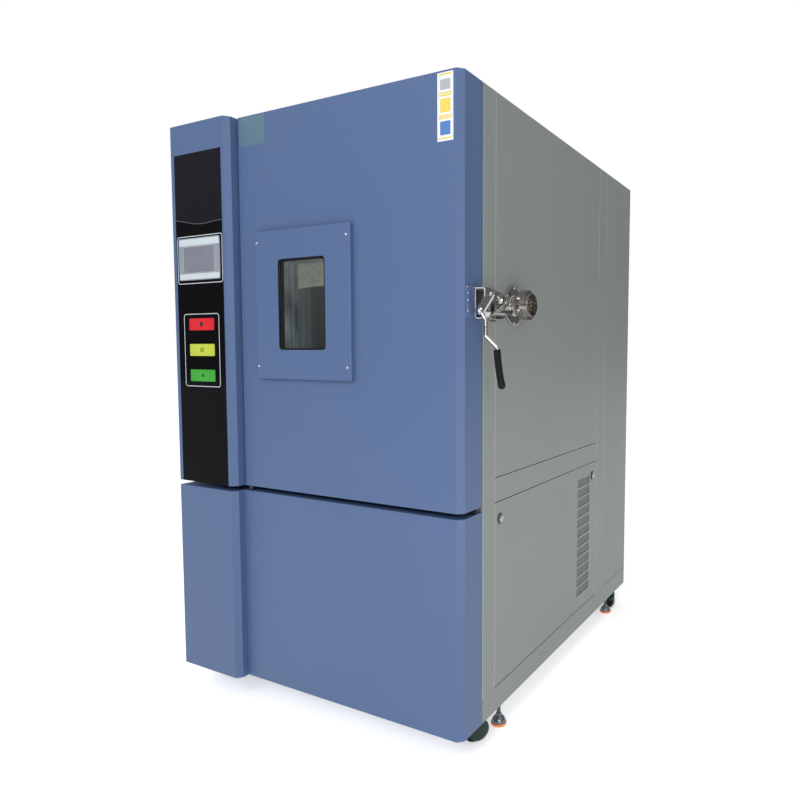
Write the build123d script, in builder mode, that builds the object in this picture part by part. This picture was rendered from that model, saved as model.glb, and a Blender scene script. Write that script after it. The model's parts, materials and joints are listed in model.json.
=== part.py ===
from build123d import *
from math import cos, radians, sin
import os

# Environmental test chamber: a cabinet on castors and levelling feet, with a hinged insulated door,
# a window, a control column, a side latch and a vacuum port.
# Millimetres. +Z is up, the door faces -Y and the latch side is +X. The origin is on the floor, under
# the middle of the whole object.

# Body
body_width = 1068.0
body_height = 1760.0
body_depth = 1455.0
ground_clearance = 80.0
sheet = 2.0
seam = 0.75
seat_gap = 0.3
running_gap = 0.05

# Front
column_width = 242.0
column_projection = 38.0
edge_chamfer = 16.0
door_gap = 7.3
door_depth = 110.0
door_seal_gap = 4.0
fascia_height = 608.0
fascia_gap = 16.0

# Chamber
cavity_width = 640.0
cavity_height = 800.0
cavity_depth = 738.0
cavity_floor = 780.0
liner_wall = 1.5
wall_insulation = 78.0
plenum_depth = 132.0

# Latch
latch_setback = 74.0
latch_height = 1156.5
pivot_offset = 24.0
shaft_radius = 6.0
rod_radius = 5.5
grip_radius = 10.0
grip_end_out = 65.0
grip_end_drop = 193.5

# Places that follow from the sizes above
side_reach = pivot_offset + grip_end_out + grip_radius
left_x = -(body_width + side_reach) / 2
right_x = left_x + body_width
middle_x = (left_x + right_x) / 2
front_y = -body_depth / 2
door_y = front_y + column_projection
cabinet_y = door_y + door_depth
rear_y = front_y + body_depth
base_z = ground_clearance
top_z = base_z + body_height
fascia_z = base_z + fascia_height
door_z = fascia_z + fascia_gap
column_right = left_x + column_width + edge_chamfer
door_left = column_right + door_gap
door_back = cabinet_y - door_seal_gap
cavity_x = (door_left + right_x) / 2
cavity_left = cavity_x - cavity_width / 2
cavity_right = cavity_x + cavity_width / 2
cavity_z = base_z + cavity_floor
cavity_top = cavity_z + cavity_height
cavity_y = cabinet_y + sheet
cavity_back = cavity_y + cavity_depth

os.makedirs("parts", exist_ok=True)


def block(x_span, y_span, z_span, mode=Mode.ADD):
    """Add or cut a box given by its span along each axis."""
    sizes = [span[1] - span[0] for span in (x_span, y_span, z_span)]
    centre = [(span[0] + span[1]) / 2 for span in (x_span, y_span, z_span)]
    with Locations(tuple(centre)):
        Box(*sizes, mode=mode)


def rod(start, end, radius, mode=Mode.ADD):
    """Add or cut a round bar from one point to another."""
    run = Vector(*end) - Vector(*start)
    with BuildSketch(Plane(origin=start, z_dir=run), mode=Mode.PRIVATE) as section:
        Circle(radius)
    extrude(section.sketch, amount=run.length, mode=mode)


def save(part, name):
    """Name a finished piece and write it."""
    part.label = name
    export_step(part, f"parts/{name}.step")


# Base tray, with the castor plates and the nuts of the levelling feet
tray_lift = 14.0
tray_height = 40.0
tray_z = base_z + tray_lift
tray_wall = 3.0
castor_inset = 34.0
castor_front = 165.0
castor_rear_inset = 87.0
castor_plate = (60.0, 72.0, 4.0)
kingpin_radius = 6.0
foot_inset = 25.0
foot_front = 256.0
foot_rear_inset = 177.0
foot_stem_radius = 6.0
foot_nut_radius = 13.0
foot_nut_height = 10.0

castor_places = [
    ("front_right", right_x - castor_inset, door_y + castor_front, 235.0),
    ("front_left", left_x + castor_inset, door_y + castor_front, 250.0),
    ("rear_right", right_x - castor_inset, rear_y - castor_rear_inset, 285.0),
    ("rear_left", left_x + castor_inset, rear_y - castor_rear_inset, 262.0),
]
foot_places = [
    ("front_right", right_x - foot_inset, door_y + foot_front),
    ("front_left", left_x + foot_inset, door_y + foot_front),
    ("rear_right", right_x - foot_inset, rear_y - foot_rear_inset),
    ("rear_left", left_x + foot_inset, rear_y - foot_rear_inset),
]

tray_x = (left_x + sheet + seat_gap, right_x - sheet - seat_gap)
tray_y = (cabinet_y + sheet + seat_gap, rear_y - sheet - seat_gap)
with BuildPart() as base_frame:
    block(tray_x, tray_y, (tray_z, tray_z + tray_height))
    block(
        (tray_x[0] + tray_wall, tray_x[1] - tray_wall),
        (tray_y[0] + tray_wall, tray_y[1] - tray_wall),
        (tray_z + tray_wall, tray_z + tray_height),
        Mode.SUBTRACT,
    )
    for _, x, y, _ in castor_places:
        with Locations((x, y, tray_z - castor_plate[2] / 2)):
            Box(*castor_plate)
        rod(
            (x, y, tray_z - castor_plate[2]),
            (x, y, tray_z + tray_wall),
            kingpin_radius + running_gap,
            Mode.SUBTRACT,
        )
    for _, x, y in foot_places:
        rod((x, y, tray_z - foot_nut_height), (x, y, tray_z), foot_nut_radius)
        rod(
            (x, y, tray_z - foot_nut_height),
            (x, y, tray_z + tray_wall),
            foot_stem_radius + running_gap,
            Mode.SUBTRACT,
        )
save(base_frame.part, "base_frame")

# Posts and rails of the cabinet, as folded sheet, and the beams that carry the chamber
post_width = 70.0
post_return = 30.0
post_edge = 6.0
mid_post_front = 1027.5
mid_post_back = 1110.0
rail_low = 619.0
rail_high = 690.0
skirt_height = 71.0
lip = 15.0
beam_width = 40.0
beam_height = 45.0
beam_places = (215.0, 560.0, 900.0)
panel_y = (door_y + door_depth + post_width, door_y + mid_post_front)
wall_z = (base_z, top_z - sheet)

with BuildPart() as cabinet_frame:
    for side in (-1, 1):
        edge = middle_x + side * body_width / 2
        inside = edge - side * sheet
        with BuildSketch(Plane.XY.offset(wall_z[0])) as post_profile:
            with BuildLine():
                Polyline(
                    (edge - side * post_return, cabinet_y),
                    (edge, cabinet_y),
                    (edge, panel_y[0]),
                    (inside, panel_y[0]),
                    (inside, cabinet_y + sheet),
                    (edge - side * post_return, cabinet_y + sheet),
                    close=True,
                )
            make_face()
            corners = post_profile.vertices()
            fillet(corners.sort_by_distance((edge, cabinet_y))[0], radius=post_edge)
        extrude(amount=wall_z[1] - wall_z[0])
        skin = sorted((edge, inside))
        block(skin, (panel_y[1], door_y + mid_post_back), wall_z)
        block(skin, (panel_y[0], panel_y[1]), (base_z + rail_low, base_z + rail_high))
        block(skin, (panel_y[0], panel_y[1]), (base_z, base_z + skirt_height))
        shelf_span = sorted((inside, edge - side * lip))
        block(shelf_span, (panel_y[0], panel_y[1]), (base_z + skirt_height - sheet, base_z + skirt_height))
    for place in beam_places:
        block(
            (left_x + sheet, right_x - sheet),
            (door_y + place, door_y + place + beam_width),
            (base_z + rail_high - beam_height, base_z + rail_high),
        )
save(cabinet_frame.part, "cabinet_frame")

# Side panels. The lower right one lifts off, so it is made below
upper_panel_z = (base_z + rail_high + seam, wall_z[1])
lower_panel_z = (base_z + skirt_height + seam, base_z + rail_low - seam)
panel_y_span = (panel_y[0] + seam, panel_y[1] - seam)
port_setback = 285.5
port_height = 1185.0
port_radius = 28.0
port_y = door_y + port_setback
port_z = base_z + port_height

with BuildPart() as upper_side_panels:
    block((left_x, left_x + sheet), panel_y_span, upper_panel_z)
    block((right_x - sheet, right_x), panel_y_span, upper_panel_z)
    rod(
        (right_x - 2 * sheet, port_y, port_z),
        (right_x + sheet, port_y, port_z),
        port_radius + seat_gap,
        Mode.SUBTRACT,
    )
save(upper_side_panels.part, "upper_side_panels")

with BuildPart() as left_service_panel:
    block((left_x, left_x + sheet), panel_y_span, lower_panel_z)
save(left_service_panel.part, "left_service_panel")

groove = 1.0
rear_side_y = (door_y + mid_post_back + seam, rear_y - sheet)
with BuildPart() as rear_side_panels:
    for side in (-1, 1):
        edge = middle_x + side * body_width / 2
        block(sorted((edge, edge - side * sheet)), rear_side_y, wall_z)
        block(
            sorted((edge, edge - side * groove)),
            rear_side_y,
            (base_z + skirt_height, base_z + skirt_height + 2 * groove),
            Mode.SUBTRACT,
        )
save(rear_side_panels.part, "rear_side_panels")

with BuildPart() as top_panel:
    block((left_x, right_x), (cabinet_y, rear_y), (top_z - sheet, top_z))
save(top_panel.part, "top_panel")

# Rear panel with rows of louvre slots low down
louvre_size = (90.0, 8.0)
louvre_pitch = (130.0, 26.0)
louvre_count = (6, 10)
louvre_height = 330.0
with BuildPart() as rear_panel:
    block((left_x, right_x), (rear_y - sheet, rear_y), wall_z)
    louvre_middle = (middle_x, rear_y, base_z + louvre_height)
    with BuildSketch(Plane(origin=louvre_middle, x_dir=(1, 0, 0), z_dir=(0, 1, 0))):
        with GridLocations(*louvre_pitch, *louvre_count):
            SlotOverall(*louvre_size)
    extrude(amount=-sheet, mode=Mode.SUBTRACT)
save(rear_panel.part, "rear_panel")

# Front fascia and control column, as closed sheet housings
front_right_chamfer = 16.0


def column_outline(right_side):
    """Points round the column's plan, closed along the cabinet's front plane."""
    return [
        (left_x, cabinet_y),
        (left_x, front_y),
        (left_x + column_width, front_y),
        (column_right, front_y + edge_chamfer),
        (column_right, right_side),
    ]


def fascia_outline():
    """Points round the fascia's plan: the column's outline, then the front under the door."""
    return [
        *column_outline(door_y),
        (right_x - front_right_chamfer, door_y),
        (right_x, door_y + front_right_chamfer),
        (right_x, cabinet_y),
    ]


with BuildPart() as fascia_hollow:
    with BuildSketch(Plane.XY.offset(base_z + sheet)):
        with BuildLine():
            Polyline(*fascia_outline(), close=True)
        make_face()
        offset(amount=-sheet)
    extrude(amount=fascia_height - 2 * sheet)

with BuildPart() as front_fascia:
    with BuildSketch(Plane.XY.offset(base_z)):
        with BuildLine():
            Polyline(*fascia_outline(), close=True)
        make_face()
    extrude(amount=fascia_height)
    add(fascia_hollow.part, mode=Mode.SUBTRACT)
save(front_fascia.part, "front_fascia")

glass_x = (left_x + 15.4, left_x + 231.4)
glass_below_top = 92.0
glass_z = (door_z, top_z - glass_below_top)
glass_thickness = 4.0
glass_proud = 0.5
glass_y = front_y - glass_proud

with BuildPart() as column_hollow:
    with BuildSketch(Plane.XY.offset(door_z + sheet)):
        with BuildLine():
            Polyline(*column_outline(cabinet_y), close=True)
        make_face()
        offset(amount=-sheet)
    extrude(amount=top_z - door_z - 2 * sheet)
    block(
        (glass_x[0] - sheet, glass_x[1] + sheet),
        (front_y, glass_y + glass_thickness + sheet),
        (door_z, glass_z[1] + sheet),
        Mode.SUBTRACT,
    )

with BuildPart() as control_column:
    with BuildSketch(Plane.XY.offset(door_z)):
        with BuildLine():
            Polyline(*column_outline(cabinet_y), close=True)
        make_face()
    extrude(amount=top_z - door_z)
    add(column_hollow.part, mode=Mode.SUBTRACT)
    block(glass_x, (glass_y, glass_y + glass_thickness), glass_z, Mode.SUBTRACT)
save(control_column.part, "control_column")

# Black glass, touch screen and lamps of the column
bezel_x = (left_x + 29.0, left_x + 220.0)
bezel_z = (base_z + 1273.0, base_z + 1405.0)
bezel_radius = 6.0
bezel_thickness = 2.0
screen_x = (left_x + 52.5, left_x + 194.0)
screen_z = (base_z + 1297.0, base_z + 1377.0)
screen_recess = 1.0
lamp_x = (left_x + 69.0, left_x + 184.5)
lamp_radius = 3.0
lamp_proud = 1.5
lamp_rows = [("red_lamp", 1114.5, 1152.0), ("yellow_lamp", 1033.0, 1071.0), ("green_lamp", 952.0, 989.5)]


def front_plate(x_span, z_span, back, thickness, radius, mode=Mode.ADD):
    """Add or cut a plate with round corners that stands on the plane y = back and faces -Y."""
    middle = ((x_span[0] + x_span[1]) / 2, back, (z_span[0] + z_span[1]) / 2)
    face = Plane(origin=middle, x_dir=(1, 0, 0), z_dir=(0, -1, 0))
    with BuildSketch(face, mode=Mode.PRIVATE) as outline:
        RectangleRounded(x_span[1] - x_span[0], z_span[1] - z_span[0], radius)
    extrude(outline.sketch, amount=thickness, mode=mode)


with BuildPart() as display_glass:
    block(glass_x, (glass_y, glass_y + glass_thickness), glass_z)
save(display_glass.part, "display_glass")

with BuildPart() as screen_bezel:
    front_plate(bezel_x, bezel_z, glass_y, bezel_thickness, bezel_radius)
    front_plate(screen_x, screen_z, glass_y, bezel_thickness, bezel_radius / 2, Mode.SUBTRACT)
save(screen_bezel.part, "screen_bezel")

with BuildPart() as touch_screen:
    front_plate(screen_x, screen_z, glass_y, bezel_thickness - screen_recess, bezel_radius / 2)
save(touch_screen.part, "touch_screen")

for lamp_name, low, high in lamp_rows:
    with BuildPart() as lamp:
        front_plate(lamp_x, (base_z + low, base_z + high), glass_y, lamp_proud, lamp_radius)
    save(lamp.part, lamp_name)

# Chamber front ring, liner with shelf runners, and insulation
mouth_x = (cavity_left, cavity_right)
mouth_z = (cavity_z, cavity_top)
runner_height = 330.0
runner_size = (14.0, 3.0)
shelf_front = 60.0
fan_height = 1385.0
fan_z = base_z + fan_height
fan_shaft_radius = 8.0
fan_shaft_clearance = 4.0
plenum_y = cavity_back - plenum_depth
liner_x = (cavity_left - liner_wall, cavity_right + liner_wall)
liner_z = (cavity_z - liner_wall, cavity_top + liner_wall)
foam_x = (liner_x[0] - wall_insulation, right_x - sheet - seat_gap)
foam_z = (base_z + rail_high, liner_z[1] + wall_insulation)
foam_y = (cavity_y, cavity_back + liner_wall + wall_insulation)
gap_bottom = fascia_z

with BuildPart() as chamber_front:
    block(
        (left_x + post_return + seat_gap, right_x - post_return - seat_gap),
        (cabinet_y, cabinet_y + sheet),
        (gap_bottom, top_z - sheet),
    )
    block(mouth_x, (cabinet_y - sheet, cabinet_y + 2 * sheet), mouth_z, Mode.SUBTRACT)
save(chamber_front.part, "chamber_front")

with BuildPart() as chamber_liner:
    block(liner_x, (cavity_y, cavity_back + liner_wall), liner_z)
    block(mouth_x, (cavity_y, cavity_back), mouth_z, Mode.SUBTRACT)
    for low_x, high_x in (
        (cavity_left, cavity_left + runner_size[0]),
        (cavity_right - runner_size[0], cavity_right),
    ):
        block(
            (low_x, high_x),
            (cavity_y + shelf_front, plenum_y),
            (cavity_z + runner_height - runner_size[1], cavity_z + runner_height),
        )
    rod(
        (cavity_x, cavity_back, fan_z),
        (cavity_x, cavity_back + liner_wall, fan_z),
        fan_shaft_radius + fan_shaft_clearance,
        Mode.SUBTRACT,
    )
    rod((cavity_right, port_y, port_z), (liner_x[1], port_y, port_z), port_radius + seat_gap, Mode.SUBTRACT)
save(chamber_liner.part, "chamber_liner")

with BuildPart() as chamber_insulation:
    block(foam_x, foam_y, foam_z)
    block(
        liner_x,
        (cavity_y, cavity_back + liner_wall),
        liner_z,
        Mode.SUBTRACT,
    )
    rod(
        (cavity_x, cavity_back + liner_wall, fan_z),
        (cavity_x, foam_y[1], fan_z),
        fan_shaft_radius + fan_shaft_clearance,
        Mode.SUBTRACT,
    )
    rod((liner_x[1], port_y, port_z), (foam_x[1], port_y, port_z), port_radius + seat_gap, Mode.SUBTRACT)
save(chamber_insulation.part, "chamber_insulation")

# Shelf: a rim with bars that lie along it
shelf_side_gap = 3.0
shelf_rim = (12.0, 8.0)
shelf_bar = (4.0, 5.0)
shelf_bars = 17
shelf_z = cavity_z + runner_height
shelf_x = (cavity_left + shelf_side_gap, cavity_right - shelf_side_gap)
shelf_y = (cavity_y + shelf_front, plenum_y - 2 * shelf_side_gap)
with BuildPart() as shelf:
    block(shelf_x, shelf_y, (shelf_z, shelf_z + shelf_rim[1]))
    block(
        (shelf_x[0] + shelf_rim[0], shelf_x[1] - shelf_rim[0]),
        (shelf_y[0] + shelf_rim[0], shelf_y[1] - shelf_rim[0]),
        (shelf_z, shelf_z + shelf_rim[1]),
        Mode.SUBTRACT,
    )
    bar_pitch = (shelf_x[1] - shelf_x[0] - 2 * shelf_rim[0]) / (shelf_bars + 1)
    for index in range(shelf_bars):
        bar_x = shelf_x[0] + shelf_rim[0] + (index + 1) * bar_pitch
        block(
            (bar_x - shelf_bar[0] / 2, bar_x + shelf_bar[0] / 2),
            (shelf_y[0] + shelf_rim[0] / 2, shelf_y[1] - shelf_rim[0] / 2),
            (shelf_z + shelf_rim[1] - shelf_bar[1], shelf_z + shelf_rim[1]),
        )
save(shelf.part, "shelf")

# Air baffle in front of the plenum, with its inlet and its outlet slots
inlet_radius = 90.0
slot_size = (26.0, 90.0)
slot_count = 12
slot_pitch = 46.0
slot_height = 70.0
baffle_flange = 40.0
baffle_x = (cavity_left + seat_gap, cavity_right - seat_gap)
baffle_z = (cavity_z + seat_gap, cavity_top - seat_gap)
with BuildPart() as air_baffle:
    block(baffle_x, (plenum_y, plenum_y + baffle_flange), baffle_z)
    block(
        (baffle_x[0] + liner_wall, baffle_x[1] - liner_wall),
        (plenum_y + liner_wall, plenum_y + baffle_flange),
        baffle_z,
        Mode.SUBTRACT,
    )
    rod((cavity_x, plenum_y, fan_z), (cavity_x, plenum_y + liner_wall, fan_z), inlet_radius, Mode.SUBTRACT)
    for low in (cavity_z + slot_height, cavity_top - slot_height):
        with BuildSketch(Plane(origin=(cavity_x, plenum_y, low), x_dir=(1, 0, 0), z_dir=(0, -1, 0))):
            with GridLocations(slot_pitch, slot_pitch, slot_count, 1):
                Rectangle(*slot_size)
        extrude(amount=-liner_wall, mode=Mode.SUBTRACT)
save(air_baffle.part, "air_baffle")

# Circulation fan: motor behind the insulation, shaft and a forward curved impeller in the plenum
motor_radius = 75.0
motor_length = 150.0
motor_ribs = 20
motor_rib = (10.0, 3.0)
motor_bolt_plate = (190.0, 190.0, 8.0)
impeller_radius = 110.0
impeller_inner = 82.0
impeller_width = 62.0
impeller_back = 18.0
impeller_plate = 2.5
impeller_blades = 24
blade_thickness = 1.6
blade_half_lead = 9.0
blade_bow = 6.0
hub_radius = 18.0
motor_y = foam_y[1] + seat_gap
impeller_plate_y = cavity_back - impeller_back
shaft_end_y = motor_y + motor_length / 2

with BuildPart() as fan_motor:
    with BuildSketch(Plane(origin=(cavity_x, motor_y, fan_z), z_dir=(0, 1, 0))):
        RectangleRounded(motor_bolt_plate[0], motor_bolt_plate[1], motor_bolt_plate[2])
    extrude(amount=motor_bolt_plate[2])
    with BuildSketch(Plane(origin=(cavity_x, motor_y, fan_z), z_dir=(0, 1, 0))):
        Circle(motor_radius)
        with PolarLocations(motor_radius, motor_ribs):
            Rectangle(*motor_rib)
    extrude(amount=motor_length)
    rod(
        (cavity_x, motor_y, fan_z),
        (cavity_x, shaft_end_y + running_gap, fan_z),
        fan_shaft_radius + running_gap,
        Mode.SUBTRACT,
    )
save(fan_motor.part, "fan_motor")

with BuildPart() as fan_impeller:
    impeller_back_point = (cavity_x, impeller_plate_y, fan_z)
    impeller_face_point = (cavity_x, impeller_plate_y - impeller_plate, fan_z)
    hub_front_point = (cavity_x, impeller_plate_y - impeller_width / 2, fan_z)
    rod(impeller_back_point, impeller_face_point, impeller_radius)
    rod(hub_front_point, (cavity_x, shaft_end_y, fan_z), fan_shaft_radius)
    rod(impeller_back_point, hub_front_point, hub_radius)
    impeller_plane = Plane(origin=impeller_face_point, x_dir=(1, 0, 0), z_dir=(0, -1, 0))
    blade_lead = radians(blade_half_lead)
    blade_tip = impeller_radius - blade_thickness
    inner_point = Vector(impeller_inner * cos(blade_lead), -impeller_inner * sin(blade_lead))
    outer_point = Vector(blade_tip * cos(blade_lead), blade_tip * sin(blade_lead))
    with BuildSketch(impeller_plane) as blades:
        with BuildLine(mode=Mode.PRIVATE) as blade_line:
            SagittaArc(inner_point, outer_point, blade_bow)
        with PolarLocations(0, impeller_blades):
            with BuildSketch(mode=Mode.PRIVATE) as blade:
                trace(blade_line.line, blade_thickness)
            add(blade.sketch)
    extrude(amount=impeller_width - impeller_plate)
    with BuildSketch(impeller_plane.offset(impeller_width - 2 * impeller_plate)):
        Circle(impeller_radius)
        Circle(impeller_inner, mode=Mode.SUBTRACT)
    extrude(amount=impeller_plate)
save(fan_impeller.part, "fan_impeller")

# Evaporator coil and heater in the plenum
coil_fins = 22
coil_fin = 1.5
coil_width = 460.0
coil_height = 230.0
coil_depth = 80.0
coil_tube_radius = 6.0
coil_rows = (2, 5)
coil_stand = 40.0
coil_z = cavity_z + coil_stand
coil_back = cavity_back - seat_gap
with BuildPart() as evaporator:
    for index in range(coil_fins):
        fin_x = cavity_x - coil_width / 2 + index * coil_width / (coil_fins - 1)
        block(
            (fin_x - coil_fin / 2, fin_x + coil_fin / 2),
            (coil_back - coil_depth, coil_back),
            (coil_z, coil_z + coil_height),
        )
    coil_middle = (cavity_x, coil_back - coil_depth / 2, coil_z + coil_height / 2)
    with BuildSketch(Plane(origin=coil_middle, x_dir=(0, 1, 0), z_dir=(1, 0, 0))):
        with GridLocations(coil_depth / 2, coil_height / coil_rows[1], *coil_rows):
            Circle(coil_tube_radius)
    extrude(amount=coil_width / 2 + coil_tube_radius, both=True)
save(evaporator.part, "evaporator")

heater_radius = 4.0
heater_bend = 16.0
heater_width = 420.0
heater_loops = 3
heater_leg = 60.0
heater_gap_above = 60.0
heater_z = coil_z + coil_height + heater_gap_above
with BuildPart() as heater:
    for index in range(heater_loops):
        level = heater_z + index * 2 * heater_bend
        with BuildLine() as heater_path:
            FilletPolyline(
                (cavity_x - heater_width / 2, coil_back, level),
                (cavity_x - heater_width / 2, coil_back - heater_leg, level),
                (cavity_x + heater_width / 2, coil_back - heater_leg, level),
                (cavity_x + heater_width / 2, coil_back, level),
                radius=heater_bend,
            )
        with BuildSketch(Plane(origin=heater_path.line @ 0, z_dir=heater_path.line % 0)):
            Circle(heater_radius)
        sweep(path=heater_path.line)
save(heater.part, "heater")

# Refrigeration: two hermetic compressors, condenser with its fan cowl, and the fan
pan_z = tray_z + tray_wall
compressor_radius = 95.0
compressor_height = 300.0
compressor_dome = 60.0
compressor_crown = 12.0
compressor_foot = (230.0, 230.0, 6.0)
compressor_foot_corner = 24.0
compressor_set = (430.0, 150.0)
compressor_y = door_y + 420.0
with BuildPart() as compressors:
    for offset_x in compressor_set:
        place = (left_x + offset_x, compressor_y, pan_z)
        with BuildSketch(Plane(origin=place)):
            RectangleRounded(compressor_foot[0], compressor_foot[1], compressor_foot_corner)
        extrude(amount=compressor_foot[2])
        with BuildSketch(Plane(origin=place, x_dir=(1, 0, 0), z_dir=(0, -1, 0))):
            with BuildLine():
                shoulder = compressor_height - compressor_dome
                crest = (compressor_crown, compressor_height)
                Polyline(
                    crest,
                    (0, compressor_height),
                    (0, 0),
                    (compressor_radius, 0),
                    (compressor_radius, shoulder),
                )
                ThreePointArc(
                    (compressor_radius, shoulder),
                    (compressor_radius * cos(radians(45)), shoulder + compressor_dome * sin(radians(45))),
                    crest,
                )
            make_face()
        revolve(axis=Axis(place, (0, 0, 1)))
save(compressors.part, "compressors")

condenser_y = (door_y + 560.0, door_y + 1000.0)
condenser_z = (pan_z, pan_z + 430.0)
condenser_depth = 60.0
condenser_setback = 50.0
condenser_fins = 36
condenser_fin = 2.0
condenser_frame = 12.0
cowl_depth = 55.0
cowl_wall = 3.0
cond_fan_radius = 165.0
cond_fan_tip_gap = 6.0
condenser_x = (right_x - condenser_setback - condenser_depth, right_x - condenser_setback)
cond_fan_y = (condenser_y[0] + condenser_y[1]) / 2
cond_fan_z = (condenser_z[0] + condenser_z[1]) / 2
cowl_x = (condenser_x[0] - cowl_depth, condenser_x[0])
fan_motor_size = (50.0, 38.0)
fan_strut = (14.0, 8.0)
cond_shaft_radius = 6.0
with BuildPart() as condenser:
    block(condenser_x, condenser_y, condenser_z)
    block(
        condenser_x,
        (condenser_y[0] + condenser_frame, condenser_y[1] - condenser_frame),
        (condenser_z[0] + condenser_frame, condenser_z[1] - condenser_frame),
        Mode.SUBTRACT,
    )
    for index in range(condenser_fins):
        fin_y = condenser_y[0] + condenser_frame + (index + 0.5) * (
            condenser_y[1] - condenser_y[0] - 2 * condenser_frame
        ) / condenser_fins
        block(condenser_x, (fin_y - condenser_fin / 2, fin_y + condenser_fin / 2), condenser_z)
    block(cowl_x, condenser_y, condenser_z)
    block(
        (cowl_x[0] + cowl_wall, cowl_x[1]),
        (condenser_y[0] + cowl_wall, condenser_y[1] - cowl_wall),
        (condenser_z[0] + cowl_wall, condenser_z[1] - cowl_wall),
        Mode.SUBTRACT,
    )
    rod(
        (cowl_x[0], cond_fan_y, cond_fan_z),
        (cowl_x[1], cond_fan_y, cond_fan_z),
        cond_fan_radius + cond_fan_tip_gap,
        Mode.SUBTRACT,
    )
    block(
        (cowl_x[0] - fan_strut[1], cowl_x[0]),
        (cond_fan_y - fan_strut[0] / 2, cond_fan_y + fan_strut[0] / 2),
        condenser_z,
    )
    rod(
        (cowl_x[0] - fan_motor_size[0], cond_fan_y, cond_fan_z),
        (cowl_x[0], cond_fan_y, cond_fan_z),
        fan_motor_size[1],
    )
    rod(
        (cowl_x[0] - fan_motor_size[0] / 2, cond_fan_y, cond_fan_z),
        (cowl_x[0], cond_fan_y, cond_fan_z),
        cond_shaft_radius + running_gap,
        Mode.SUBTRACT,
    )
save(condenser.part, "condenser")

cond_blades = 5
cond_hub = (42.0, 22.0)
cond_hub_gap = 6.0
cond_blade_pitch = 28.0
cond_blade_chord = 57.0
cond_blade_bow = 8.0
cond_blade_thickness = 2.5
cond_hub_x = cowl_x[0] + cond_hub_gap
with BuildPart() as condenser_fan:
    rod((cond_hub_x, cond_fan_y, cond_fan_z), (cond_hub_x + cond_hub[1], cond_fan_y, cond_fan_z), cond_hub[0])
    rod(
        (cowl_x[0] - fan_motor_size[0] / 2 + running_gap, cond_fan_y, cond_fan_z),
        (cond_hub_x, cond_fan_y, cond_fan_z),
        cond_shaft_radius,
    )
    for index in range(cond_blades):
        turn = 360.0 * index / cond_blades
        radial = Vector(0, 0, 1).rotate(Axis.X, turn)
        chord = Vector(0, 1, 0).rotate(Axis.Z, cond_blade_pitch).rotate(Axis.X, turn)
        hub_middle = Vector(cond_hub_x + cond_hub[1] / 2, cond_fan_y, cond_fan_z)
        centre = hub_middle + radial * (cond_hub[0] - cond_hub_gap)
        with BuildSketch(Plane(origin=centre, x_dir=chord, z_dir=radial)):
            with BuildLine() as camber:
                SagittaArc((-cond_blade_chord / 2, 0), (cond_blade_chord / 2, 0), cond_blade_bow)
            trace(camber.line, cond_blade_thickness)
        extrude(amount=cond_fan_radius - cond_hub[0] + cond_hub_gap)
save(condenser_fan.part, "condenser_fan")

# Vacuum pump: cast body with oil case, and its motor
pump_x = left_x + 655.0
pump_y = door_y + 240.0
pump_body = (150.0, 170.0, 190.0)
pump_motor = (72.0, 220.0)
pump_foot = 10.0
pump_filler = 20.0
with BuildPart() as vacuum_pump:
    with BuildSketch(Plane(origin=(pump_x, pump_y, pan_z))):
        Rectangle(pump_body[0] + 2 * pump_foot, pump_body[1])
    extrude(amount=pump_foot)
    with BuildSketch(Plane(origin=(pump_x, pump_y, pan_z))):
        RectangleRounded(pump_body[0], pump_body[1], pump_foot)
    extrude(amount=pump_body[2])
    motor_axis_z = pan_z + pump_motor[0] + pump_foot
    rod(
        (pump_x, pump_y + pump_body[1] / 2, motor_axis_z),
        (pump_x, pump_y + pump_body[1] / 2 + pump_motor[1], motor_axis_z),
        pump_motor[0],
    )
    pump_top = pan_z + pump_body[2]
    rod((pump_x, pump_y, pump_top), (pump_x, pump_y, pump_top + pump_filler), pump_filler)
save(vacuum_pump.part, "vacuum_pump")

# Control box beside the chamber, behind the column
control_box_depth = 180.0
control_box_y = (door_y + 200.0, door_y + 640.0)
control_box_inset = 20.0
control_box_z = (cavity_z + control_box_inset, cavity_top - control_box_inset)
control_box_x = (foam_x[0] - seat_gap - control_box_depth, foam_x[0] - seat_gap)
control_lid = 3.0
control_lid_inset = 12.0
with BuildPart() as control_box:
    block(control_box_x, control_box_y, control_box_z)
    block(
        (control_box_x[0] + sheet, control_box_x[1] - sheet),
        (control_box_y[0] + sheet, control_box_y[1] - sheet),
        (control_box_z[0] + sheet, control_box_z[1] - sheet),
        Mode.SUBTRACT,
    )
    block(
        (control_box_x[0] - control_lid, control_box_x[0]),
        (control_box_y[0] + control_lid_inset, control_box_y[1] - control_lid_inset),
        (control_box_z[0] + control_lid_inset, control_box_z[1] - control_lid_inset),
    )
save(control_box.part, "control_box")

# Vacuum port: tube through the wall with a base flange and a small outer flange
port_wall = 2.0
base_flange = (58.0, 6.0)
flange_radius = 37.5
flange_rim = 3.0
flange_taper = 4.0
port_neck = 38.0
flange_x = right_x + base_flange[1] + port_neck
port_start = (liner_x[1] - liner_wall, port_y, port_z)
with BuildPart() as port_tube:
    rod(port_start, (flange_x, port_y, port_z), port_radius)
    rod((right_x, port_y, port_z), (right_x + base_flange[1], port_y, port_z), base_flange[0])
    with BuildSketch(Plane(origin=(0, port_y, port_z), x_dir=(1, 0, 0), z_dir=(0, -1, 0))):
        with BuildLine():
            Polyline(
                (flange_x - flange_rim - flange_taper, 0),
                (flange_x, 0),
                (flange_x, flange_radius),
                (flange_x - flange_rim, flange_radius),
                (flange_x - flange_rim - flange_taper, port_radius),
                close=True,
            )
        make_face()
    revolve(axis=Axis((0, port_y, port_z), (1, 0, 0)))
    rod(port_start, (flange_x, port_y, port_z), port_radius - port_wall, Mode.SUBTRACT)
save(port_tube.part, "port_tube")

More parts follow.
